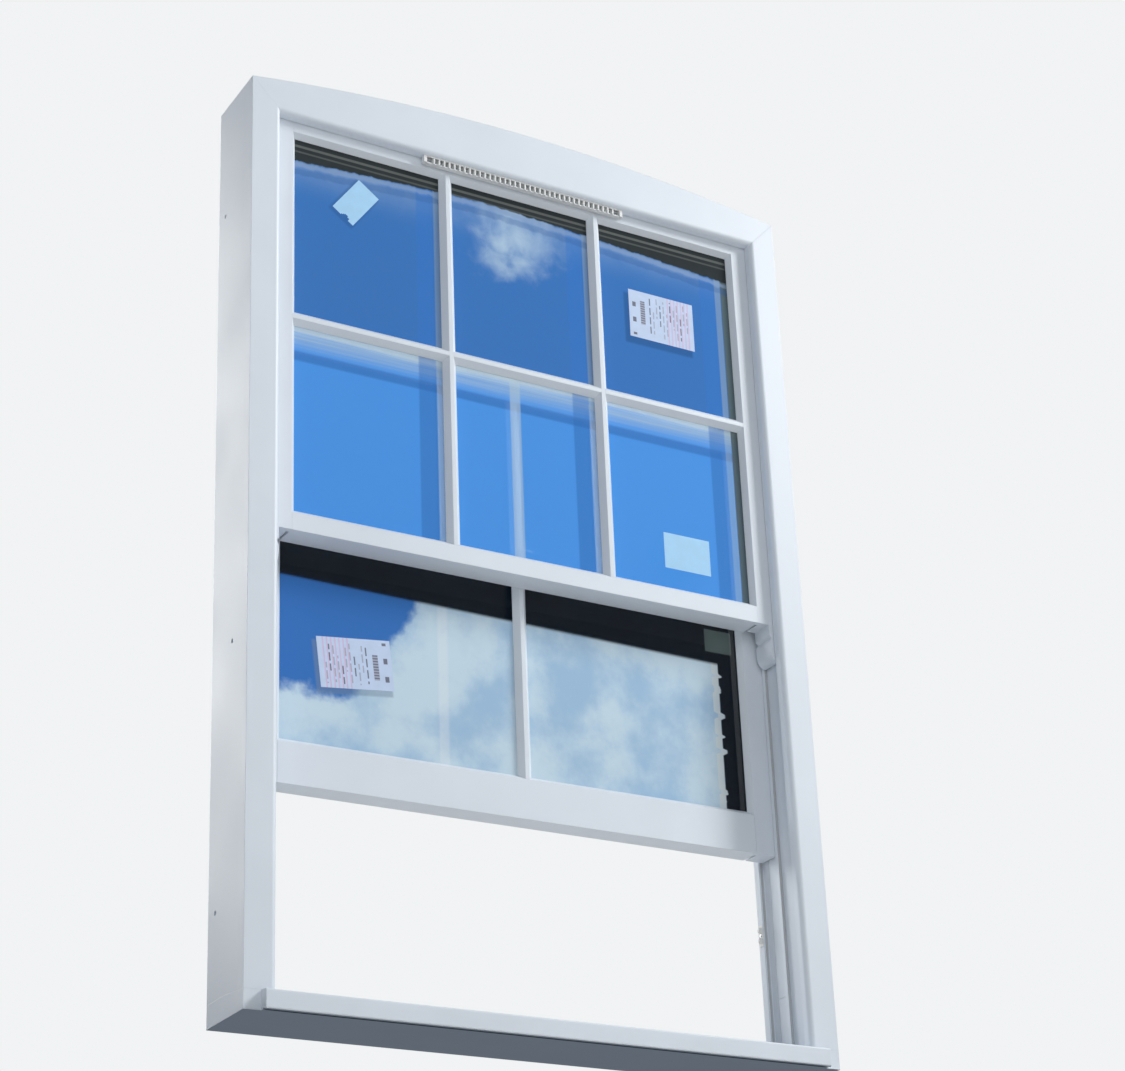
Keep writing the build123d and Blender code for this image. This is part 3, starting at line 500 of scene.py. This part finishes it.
layers = [(0.85, haze.outputs[0], sky_haze)]
layers += [(0.75, cover, painted_pale_light) for cover in cloud_covers]
layers.append((1.0, lower_row.outputs[0], sky_bright))
layers.append((1.8, streak_share.outputs[0], painted_pale_light))
layers.append((0.7, pale_line, painted_pale_light))
layers.append((0.7, deep_band, sky_shade))
layers.append((0.55, stripe_share.outputs[0], painted_pale_light))
for strength, centre, size, turn in label_shades:
    layers.append((strength, soft_box(tree, place, centre, size, turn, shade_softness),
                   label_shade))
for edge in (bar_middles[0] - bar_half, bar_middles[1] - bar_half, right_pane_edge):
    layers.append((0.55, soft_band(tree, across, edge - strip_far, edge - strip_near, 0.005),
                   sky_shade))
    layers.append((0.45, soft_band(tree, across, edge - glint_width, edge, 0.003), edge_glint))
layers.append((0.95, soft_band(tree, across, stile_sight - 0.014, stile_sight + 0.02, 0.003),
               edge_shade))
layers.append((0.35, under_rim, under_shade))
layers.append((0.6, rim, head_rim))
layers.append((1.0, in_head.outputs[0], head_shade))
layers.append((0.8, lit_line, head_line))
layers.append((0.5, low_line_share.outputs[0], head_line))
film_colour = coats(tree, sky_deep, layers)
film_cover = add_node(tree, "ShaderNodeMapRange", {}, {
    "Value": lower_row.outputs[0], "To Min": deep_cover, "To Max": row_cover})
tree.links.new(film_colour, shader.inputs["Base Color"])
lay_film(tree, shader, film_cover.outputs[0], from_street)
dress(upper_film, "upper_glass_outer")
print("upper film:", len(layers), "layers over",
      round(upper_glass_high.x - upper_glass_low.x, 3), "m")

# %% [markdown]
# ## The clouds in the lower panes
#
# The bank of cloud rises to the right. Its top is a slanting line that a noise pushes up and down,
# and the same noise mixes white and grey inside it, so that the billows and the edge agree. Above
# it the pane mirrors only shade, and along the right edge it mirrors the dark side of its own
# rebate, where crumbs of white sealant are left.

# %% The bank of cloud
cloud_white = linear("#CFE5F3")
cloud_grey = linear("#A8C9E6")
bank_slope = 1.45
bank_foot = (-0.345, 0.570)
bank_wander = 0.26

lower_film, tree, shader, place, split, from_street = film_glass(
    "clouds reflected in the lower panes", "lower_glass_outer")
across, height = split.outputs[0], split.outputs[2]
billows = add_node(tree, "ShaderNodeTexNoise", {}, {"Vector": place, "Scale": 7.0, "Detail": 7.0,
                                                    "Roughness": 0.56})
drift = add_node(tree, "ShaderNodeMath", {"operation": "MULTIPLY_ADD"}, {
    0: billows.outputs[0], 1: bank_wander, 2: -bank_wander / 2})
slope_line = add_node(tree, "ShaderNodeMath", {"operation": "MULTIPLY_ADD"}, {
    0: across, 1: bank_slope, 2: bank_foot[1] - bank_slope * bank_foot[0]})
bank_top = add_node(tree, "ShaderNodeMath", {"operation": "MAXIMUM"}, {
    0: slope_line.outputs[0], 1: bank_foot[1]})
under_top = add_node(tree, "ShaderNodeMath", {"operation": "SUBTRACT"}, {
    0: bank_top.outputs[0], 1: height})
softened = add_node(tree, "ShaderNodeMath", {"operation": "ADD"}, {
    0: under_top.outputs[0], 1: drift.outputs[0]})
bank_share = add_node(tree, "ShaderNodeMapRange", {"interpolation_type": "SMOOTHSTEP"}, {
    "Value": softened.outputs[0], "From Min": -0.008, "From Max": 0.036})
cloud_tone = add_node(tree, "ShaderNodeMapRange", {"interpolation_type": "SMOOTHSTEP"}, {
    "Value": billows.outputs[0], "From Min": 0.36, "From Max": 0.60})
cloud_colour = add_node(tree, "ShaderNodeMix", {"data_type": "RGBA"}, {
    0: cloud_tone.outputs[0], 6: cloud_grey, 7: cloud_white})
print("cloud bank rises", bank_slope, "to 1 from", bank_foot)

# %% The dark above it and beside it
room_edge_fall = -0.018
room_edge_height = 0.759
mirror_edge = 0.411
crumb_depth = 0.009
sealant_width = 0.012

room_edge = add_node(tree, "ShaderNodeMath", {"operation": "MULTIPLY_ADD"}, {
    0: across, 1: room_edge_fall, 2: room_edge_height})
above_edge = add_node(tree, "ShaderNodeMath", {"operation": "SUBTRACT"}, {
    0: height, 1: room_edge.outputs[0]})
in_room = add_node(tree, "ShaderNodeMapRange", {"interpolation_type": "SMOOTHSTEP"}, {
    "Value": above_edge.outputs[0], "From Min": -0.002, "From Max": 0.006})
# the crumbs come at uneven steps, mostly of 30 to 60 mm
crumb_rows = add_node(tree, "ShaderNodeTexNoise", {"noise_dimensions": "1D"}, {
    "W": height, "Scale": 42.0, "Detail": 2.0})
crumbs = add_node(tree, "ShaderNodeMapRange", {}, {
    "Value": crumb_rows.outputs[0], "From Min": 0.56, "From Max": 0.68, "To Max": -crumb_depth})
wandered = add_node(tree, "ShaderNodeMath", {"operation": "ADD"}, {
    0: across, 1: crumbs.outputs[0]})
right_strip = add_node(tree, "ShaderNodeMapRange", {"interpolation_type": "SMOOTHSTEP"}, {
    "Value": wandered.outputs[0], "From Min": mirror_edge, "From Max": mirror_edge + 0.003})
sealant = soft_band(tree, wandered.outputs[0], mirror_edge - sealant_width, mirror_edge, 0.002)
print("dark strip from x", mirror_edge)

# %% Laying the lower film
# painted shade where the lower panes show only dark: above the clouds, along the right edge, and
# on the lower inner pane
painted_room_shade = linear("#0D1824")
sky_low = linear("#4079C4")
streak_white = linear("#FFFFFF")
lower_label_shade = linear("#7C90A6")
sealant_white = linear("#E4ECEC")
patch_green = linear("#93A8A4")
sky_cover = 0.94
dark_cover = 0.6

# a faint upright streak of painted light
upright_streak = soft_band(tree, across, -0.158, -0.146, 0.006)
label_shadow = soft_box(tree, place, (-0.322, 0.621), (0.136, 0.090), 6, 0.005)
green_patch = soft_box(tree, place, (0.416, 0.798), (0.056, 0.043), 0, 0.001)
film_colour = coats(tree, sky_low, [
    (1.0, bank_share.outputs[0], cloud_colour.outputs[2]),
    (0.22, upright_streak, streak_white),
    (0.5, label_shadow, lower_label_shade),
    (0.7, sealant, sealant_white),
    (1.0, right_strip.outputs[0], painted_room_shade),
    (1.0, in_room.outputs[0], painted_room_shade),
    (0.55, green_patch, patch_green),
])
dark_share = add_node(tree, "ShaderNodeMath", {"operation": "MAXIMUM"}, {
    0: in_room.outputs[0], 1: right_strip.outputs[0]})
film_cover = add_node(tree, "ShaderNodeMapRange", {}, {
    "Value": dark_share.outputs[0], "To Min": sky_cover, "To Max": dark_cover})
tree.links.new(film_colour, shader.inputs["Base Color"])
lay_film(tree, shader, film_cover.outputs[0], from_street)
dress(lower_film, "lower_glass_outer")
print("lower film: cover", sky_cover, "on the clouds and", dark_cover, "on the dark")

# %% [markdown]
# ## Clear panes, spacers and seals
#
# The inner pane of the upper unit is plain float glass: almost nothing but its gloss. The lower
# unit's inner pane is the same glass from the room, but from the street it carries a near-opaque
# painted shade, standing in for the dark room behind. Between the panes runs a warm-edge spacer, a
# dark extruded bar with a matt face, which shows as a dark strip along the top and the far side of
# the glass.

# %% Clear glass, spacer, pile
# float glass gives the eye only a faint green body and its gloss
clear_glass, tree, shader = new_material("float glass", Base_Color=linear("#DCE8E6"),
                                         Roughness=0.02, IOR=1.5, Alpha=clear_cover,
                                         Specular_IOR_Level=glass_gloss)
nodes["upper_glass_inner"].visible_shadow = False
dress(clear_glass, "upper_glass_inner")
# the lower inner pane: from the street a near-opaque painted shade for the dark room behind, from
# the room clear glass
shade_cover = 0.985
shade_glass, tree, shader, place, split, from_street = film_glass(
    "float glass with painted room shade", "lower_glass_inner")
lay_film(tree, shader, shade_cover, from_street)
shader.inputs["Base Color"].default_value = painted_room_shade
dress(shade_glass, "lower_glass_inner")

# the spacer is matt with a fine speckle, and reads as a dark line round the glass
spacer_bar, tree, shader = new_material("dark warm-edge spacer", Roughness=0.7)
place = add_node(tree, "ShaderNodeTexCoord").outputs["Object"]
speckle = add_node(tree, "ShaderNodeTexNoise", {}, {"Vector": place, "Scale": 400.0})
tone = add_node(tree, "ShaderNodeMix", {"data_type": "RGBA"}, {
    0: speckle.outputs[0], 6: linear("#30363A"), 7: linear("#454C50")})
tree.links.new(tone.outputs[2], shader.inputs["Base Color"])
dress(spacer_bar, "upper_spacer", "lower_spacer")

# a woven pile is soft, so it has no gloss but a sheen along its edge
pile, tree, shader = new_material("woven pile seal", Roughness=0.95, Sheen_Weight=0.4)
place = add_node(tree, "ShaderNodeTexCoord").outputs["Object"]
tufts = add_node(tree, "ShaderNodeTexNoise", {}, {"Vector": place, "Scale": 1500.0})
tone = add_node(tree, "ShaderNodeMix", {"data_type": "RGBA"}, {
    0: tufts.outputs[0], 6: linear("#9EA2A4"), 7: linear("#C6C9CA")})
tree.links.new(tone.outputs[2], shader.inputs["Base Color"])
dress(pile, "parting_seals", "staff_seals")
print("glazing:", clear_glass.name, spacer_bar.name, pile.name)

# %% [markdown]
# ## Plastic and metal fittings
#
# The vent, its grille and the stops are moulded plastic, a warmer and slightly duller white than
# the paint. Tubes and nuts of the balances are plastic too. The fastener and the lifts are die
# cast zinc with a satin chrome plate, brushed along their length before plating.

# %% Moulded plastic
def moulded_plastic(name, colour, roughness):
    """Plastic from a lightly eroded mould: grains of about 0.5 mm in the bump."""
    material, tree, shader = new_material(name, Base_Color=linear(colour), IOR=1.49)
    place = add_node(tree, "ShaderNodeTexCoord").outputs["Object"]
    erosion = add_node(tree, "ShaderNodeTexNoise", {}, {"Vector": place, "Scale": 1800.0})
    edges = add_node(tree, "ShaderNodeBevel", {"samples": 6}, {"Radius": 0.0004})
    bump = add_node(tree, "ShaderNodeBump", {}, {
        "Strength": 0.15, "Distance": 0.00005, "Height": erosion.outputs[0],
        "Normal": edges.outputs[0]})
    gloss = add_node(tree, "ShaderNodeMapRange", {}, {
        "Value": erosion.outputs[0], "To Min": roughness - 0.06, "To Max": roughness + 0.06})
    tree.links.new(bump.outputs[0], shader.inputs["Normal"])
    tree.links.new(gloss.outputs[0], shader.inputs["Roughness"])
    return material


vent_plastic = moulded_plastic("white acetal, vent", "#E6E8E8", 0.42)
stop_plastic = moulded_plastic("white nylon, stops", "#E9EAE8", 0.35)
nut_plastic = moulded_plastic("natural nylon, balance nuts", "#D9D6CC", 0.45)
tube_plastic = moulded_plastic("white uPVC, balance tubes", "#DADDE0", 0.30)
dress(vent_plastic, "vent_grille", "vent_body", "vent_flap")
dress(stop_plastic, "sash_stops")
dress(tube_plastic, "upper_balance_tubes", "lower_balance_tubes")
dress(nut_plastic, "upper_balance_feet", "lower_balance_feet")
for sash in ("upper", "lower"):
    for side in ("left", "right"):
        dress(nut_plastic, f"{sash}_balance_nut_{side}")
print("plastics:", vent_plastic.name, stop_plastic.name, nut_plastic.name, tube_plastic.name)


# %% Plated metal
def plated_metal(name, colour, roughness, brushed_along):
    """Plate over brushed zinc or steel: lines about 0.3 mm apart along one axis."""
    material, tree, shader = new_material(name, Base_Color=linear(colour), Metallic=1.0)
    place = add_node(tree, "ShaderNodeTexCoord").outputs["Object"]
    stretch = {"X": (40, 3000, 3000), "Z": (3000, 3000, 40)}[brushed_along]
    stretched = add_node(tree, "ShaderNodeMapping", {}, {"Vector": place, "Scale": stretch})
    lines = add_node(tree, "ShaderNodeTexNoise", {}, {"Vector": stretched.outputs[0],
                                                      "Scale": 1.0, "Detail": 2.0})
    edges = add_node(tree, "ShaderNodeBevel", {"samples": 6}, {"Radius": 0.0006})
    bump = add_node(tree, "ShaderNodeBump", {}, {
        "Strength": 0.2, "Distance": 0.00003, "Height": lines.outputs[0],
        "Normal": edges.outputs[0]})
    gloss = add_node(tree, "ShaderNodeMapRange", {}, {
        "Value": lines.outputs[0], "To Min": roughness - 0.07, "To Max": roughness + 0.07})
    tree.links.new(bump.outputs[0], shader.inputs["Normal"])
    tree.links.new(gloss.outputs[0], shader.inputs["Roughness"])
    return material


satin_chrome = plated_metal("satin chrome on zinc", "#C9CACB", 0.30, "X")
zinc_plate = plated_metal("zinc plated steel", "#B4B8BC", 0.34, "Z")
dress(satin_chrome, "fastener_base", "fastener_lever", "fastener_rivet", "fastener_keep",
      "sash_lift_left", "sash_lift_right")
dress(zinc_plate, "balance_screws", "upper_balance_rods", "lower_balance_rods")
print("metals:", satin_chrome.name, zinc_plate.name)

# %% [markdown]
# ## Twisted rods of the balances
#
# The rod of a spiral balance is a flat steel strip twisted about its own length, one turn in
# 100 mm, so that it turns the nut as the sash slides. The solids hold its round envelope. A strip
# is a long grid, Solidify gives it thickness, and Simple Deform twists it. The left and
# the right balance are twisted opposite ways, which keeps the sash from being pushed sideways.

# %% Spiral rods
strip_width = 0.0066
strip_thickness = 0.0018
twist_lead = 0.100
steps_per_turn = 24


def twisted_rods(name, replaced, body):
    """Both rods of a sash as one piece, in place of their round envelope."""
    low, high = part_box(replaced)
    length = high.z - low.z
    turns = length / twist_lead
    radius = (high.y - low.y) / 2
    strips = []
    for side in (-1, 1):
        bpy.ops.mesh.primitive_grid_add(x_subdivisions=2,
                                        y_subdivisions=round(turns * steps_per_turn), size=1)
        strip = bpy.context.active_object
        strip.scale = (strip_width, length, 1)
        bpy.ops.object.transform_apply(location=False, rotation=False, scale=True)
        thickness = strip.modifiers.new("thickness", "SOLIDIFY")
        thickness.thickness = strip_thickness
        thickness.offset = 0
        twist = strip.modifiers.new("twist", "SIMPLE_DEFORM")
        twist.deform_method = "TWIST"
        twist.deform_axis = "Y"
        twist.angle = side * turns * math.tau
        bpy.ops.object.modifier_apply(modifier="thickness")
        bpy.ops.object.modifier_apply(modifier="twist")
        strip.rotation_euler.x = math.radians(90)
        strip.location = (side * (high.x - radius), (low.y + high.y) / 2, (low.z + high.z) / 2)
        strips.append(strip)
    select_only(strips[0])
    strips[1].select_set(True)
    bpy.ops.object.join()
    piece = finish_piece(strips[0], name, body, "steel", zinc_plate)
    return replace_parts(piece, replaced)


for sash in ("upper", "lower"):
    rods = twisted_rods(f"{sash}_spiral_rods", f"{sash}_balance_rods", f"{sash}_sash")
    print(rods.name, "faces", len(rods.data.polygons))

# %% [markdown]
# ## Screws and pellets
#
# The fittings are held by small raised-head screws with a cross recess. One is modelled: a disc,
# its rim rounded by a Bevel, and the recess cut by a Boolean with two crossed wedges. The
# others are copies of it. The screws that fix the frame to the wall are covered with pellets,
# short plugs of wood glued into the holes and painted over with the jamb.

# %% A screw head and its places
def bevelled_disc(radius, depth, round_off):
    """A disc with a rounded top rim, its top at z 0."""
    bpy.ops.mesh.primitive_cylinder_add(vertices=32, radius=radius, depth=depth,
                                        location=(0, 0, -depth / 2))
    disc = bpy.context.active_object
    bpy.ops.object.transform_apply(location=True, rotation=False, scale=False)
    rounding = disc.modifiers.new("rim", "BEVEL")
    rounding.width = round_off
    rounding.segments = 3
    rounding.limit_method = "ANGLE"
    bpy.ops.object.modifier_apply(modifier="rim")
    return disc


def placed_copy(model, name, place, facing, body, slot, material):
    """A copy with its own mesh, its top turned to face a direction."""
    copy = model.copy()
    copy.data = model.data.copy()
    bpy.context.scene.collection.objects.link(copy)
    copy.location = place
    copy.rotation_euler = Vector(facing).to_track_quat("Z", "Y").to_euler()
    return finish_piece(copy, name, body, slot, material)


screw_radius = 0.0034
screw_depth = 0.0014
screw_rim = 0.0006
recess_reach = 0.0026
recess_depth = 0.0016
recess_thinning = 0.22
screw_head = bevelled_disc(screw_radius, screw_depth, screw_rim)
for turn in (0, 90):
    bpy.ops.mesh.primitive_cone_add(vertices=4, radius1=0.0001, radius2=recess_reach,
                                    depth=recess_depth, location=(0, 0, -0.0004),
                                    rotation=(0, 0, math.radians(45)))
    wedge = bpy.context.active_object
    bpy.ops.object.transform_apply(location=False, rotation=True, scale=False)
    wedge.scale.x = recess_thinning
    wedge.rotation_euler.z = math.radians(turn)
    bpy.ops.object.transform_apply(location=False, rotation=True, scale=True)
    select_only(screw_head)
    cut = screw_head.modifiers.new("recess", "BOOLEAN")
    cut.operation = "DIFFERENCE"
    cut.object = wedge
    bpy.ops.object.modifier_apply(modifier="recess")
    bpy.data.objects.remove(wedge)

# how far the screws stand off a plate, and how far their middles are from its edges
screw_stand = 0.0009
plate_thickness = 0.003
base_screw_inset = 0.0085
lift_screw_drop = 0.009
base_low, base_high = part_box("fastener_base")
base_middle = (base_low.y + base_high.y) / 2
plate_top = base_low.z + plate_thickness
screws = []
for number, side in enumerate((-1, 1)):
    place = (side * (base_high.x - base_screw_inset), base_middle, plate_top + screw_stand)
    screws.append(placed_copy(screw_head, f"fastener_screw_{number}", place, (0, 0, 1),
                              "lower_sash", "satin_chrome", satin_chrome))
for side_name in ("left", "right"):
    low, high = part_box("sash_lift_" + side_name)
    for number, share in enumerate((0.18, 0.82)):
        place = (low.x + share * (high.x - low.x), low.y + plate_thickness + screw_stand,
                 high.z - lift_screw_drop)
        screws.append(placed_copy(screw_head, f"lift_screw_{side_name}_{number}", place,
                                  (0, 1, 0), "lower_sash", "satin_chrome", satin_chrome))
stop_low, stop_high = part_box("sash_stops")
stop_plate_thickness = 0.0015
stop_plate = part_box("staff_bead_right")[0].x - stop_plate_thickness
for number, side in enumerate((-1, 1)):
    place = (side * (stop_plate - screw_stand), (stop_low.y + stop_high.y) / 2,
             (stop_low.z + stop_high.z) / 2)
    screws.append(placed_copy(screw_head, f"stop_screw_{number}", place, (-side, 0, 0),
                              "frame", "satin_chrome", satin_chrome))
bpy.data.objects.remove(screw_head)

pellet_radius = 0.0039
pellet_length = 0.006
pellet_stand = 0.0001
pellet_rim = 0.0003
jamb_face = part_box("jamb_right")[0].x
# the middles of the fixing holes in the face of a jamb, as Y and Z
fixing_holes = ((0.046, 0.180), (0.046, 1.4465), (-0.008, 0.620))
pellet_model = bevelled_disc(pellet_radius, pellet_length, pellet_rim)
pellets = []
for side in (-1, 1):
    for y, z in fixing_holes:
        pellets.append(placed_copy(pellet_model, f"pellet_{len(pellets)}",
                                   (side * (jamb_face - pellet_stand), y, z), (-side, 0, 0),
                                   "frame", "painted_timber", upright_paint))
bpy.data.objects.remove(pellet_model)
print("screws:", len(screws), "pellets:", len(pellets))

# %% [markdown]
# ## Paper labels on the glass
#
# A glass unit arrives with self-adhesive labels. Each is a sheet of paper, so it starts as a
# grid the size of the label, and the faces that carry print get an ink. The print is a generic
# pattern of columns and blocks, not words. Solidify then gives the paper its thickness.

# %% Paper and inks
paper_grain_mm = 2.5


def paper_material(name, colour):
    material, tree, shader = new_material(name, Roughness=0.75)
    place = add_node(tree, "ShaderNodeTexCoord").outputs["Object"]
    fibre = add_node(tree, "ShaderNodeTexNoise", {}, {
        "Vector": place, "Scale": 1000.0 / paper_grain_mm / 8, "Detail": 4.0})
    tone = add_node(tree, "ShaderNodeMapRange", {}, {"Value": fibre.outputs[0],
                                                     "To Min": 0.88, "To Max": 1.06})
    shade = add_node(tree, "ShaderNodeHueSaturation", {}, {"Color": linear(colour),
                                                           "Value": tone.outputs[0]})
    tree.links.new(shade.outputs[0], shader.inputs["Base Color"])
    return material


white_paper = paper_material("coated label paper", "#C6D8F4")
pink_paper = paper_material("pink printed strokes", "#D3BFE0")
blank_paper = paper_material("blank blue-white label", "#ACDAFC")
dark_ink = paper_material("dark grey print", "#6E7488")
pale_ink = paper_material("pale grey print", "#A9AFC4")

cell = 0.0025
paper_thickness = 0.00025
# the torn edge is a shallow cosine arch: its depth, its shift, and its angle per metre
tear_depth = 0.008
tear_offset = 0.004
tear_bend = 150
print("papers:", white_paper.name, blank_paper.name)


def label_inks(u, v, width, height):
    """Which paper or ink a cell of a printed label has: 0 paper, 1 pink, 2 dark, 3 pale."""
    column = int(u / cell)
    row = int(v / cell)
    if 0.008 < u < 0.016 and row % 13 < 4 and 0.006 < v < height - 0.006:
        return 2
    if 0.026 < u < 0.036 and 0.30 * height < v < 0.80 * height:
        return 2 if row % 2 else 3
    if 0.044 < u < width - 0.008:
        top = (0.92, 0.80, 0.90, 0.66)[column // 3 % 4] * height
        foot = (0.50, 0.36, 0.10, 0.14)[column // 3 % 4] * height
        if column % 3 == 0 and foot < v < top and (row + column) % 8 < 6:
            return 2 if column % 9 == 0 else 3
        if u > 0.58 * width and column % 3 == 1:
            return 1
    return 0


def glass_label(name, centre, size, turn, face_y, body, printed, torn=False):
    """A paper label of the given size, turned in the pane's plane, on the glass at face_y."""
    width, height = size
    bpy.ops.mesh.primitive_grid_add(
        x_subdivisions=round(width / cell), y_subdivisions=round(height / cell), size=1)
    label = bpy.context.active_object
    label.scale = (width, height, 1)
    bpy.ops.object.transform_apply(location=False, rotation=False, scale=True)
    if printed:
        for face in label.data.polygons:
            u = face.center.x + width / 2
            v = face.center.y + height / 2
            face.material_index = label_inks(u, v, width, height)
    if torn:
        # the lower short edge is torn: the faces under a shallow arch go
        bpy.ops.object.mode_set(mode="EDIT")
        bpy.ops.mesh.select_mode(type="FACE")
        bpy.ops.mesh.select_all(action="DESELECT")
        bpy.ops.object.mode_set(mode="OBJECT")
        for face in label.data.polygons:
            arch = tear_depth * math.cos(tear_bend * (face.center.x - tear_offset))
            face.select = face.center.y < -height / 2 + arch
        bpy.ops.object.mode_set(mode="EDIT")
        bpy.ops.mesh.delete(type="FACE")
        bpy.ops.object.mode_set(mode="OBJECT")
    solidify = label.modifiers.new("thickness", "SOLIDIFY")
    solidify.thickness = paper_thickness
    solidify.offset = 1
    label.rotation_euler = (math.radians(90), math.radians(-turn), 0)
    label.location = (centre[0], face_y - paper_thickness / 4, centre[1])
    select_only(label)
    bpy.ops.object.modifier_apply(modifier="thickness")
    for face in label.data.polygons:
        if face.normal.z < 0.5:
            face.material_index = 0
    papers = (white_paper, pink_paper, dark_ink, pale_ink) if printed else (blank_paper,)
    return finish_piece(label, name, body, None, *papers)


# %% Labels of both sashes
upper_glass_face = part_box("upper_glass_outer")[0].y
lower_glass_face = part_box("lower_glass_outer")[0].y
labels = [
    glass_label("label_upper_blank", (-0.336, 1.490), (0.049, 0.086), -37,
                upper_glass_face, "upper_sash", False, torn=True),
    glass_label("label_upper_printed", (0.300, 1.413), (0.142, 0.100), 0,
                upper_glass_face, "upper_sash", True),
    glass_label("label_upper_small", (0.325, 0.934), (0.098, 0.070), 0,
                upper_glass_face, "upper_sash", False),
    glass_label("label_lower_printed", (-0.317, 0.630), (0.136, 0.090), 186,
                lower_glass_face, "lower_sash", True),
]
print("labels:", [label.name for label in labels])
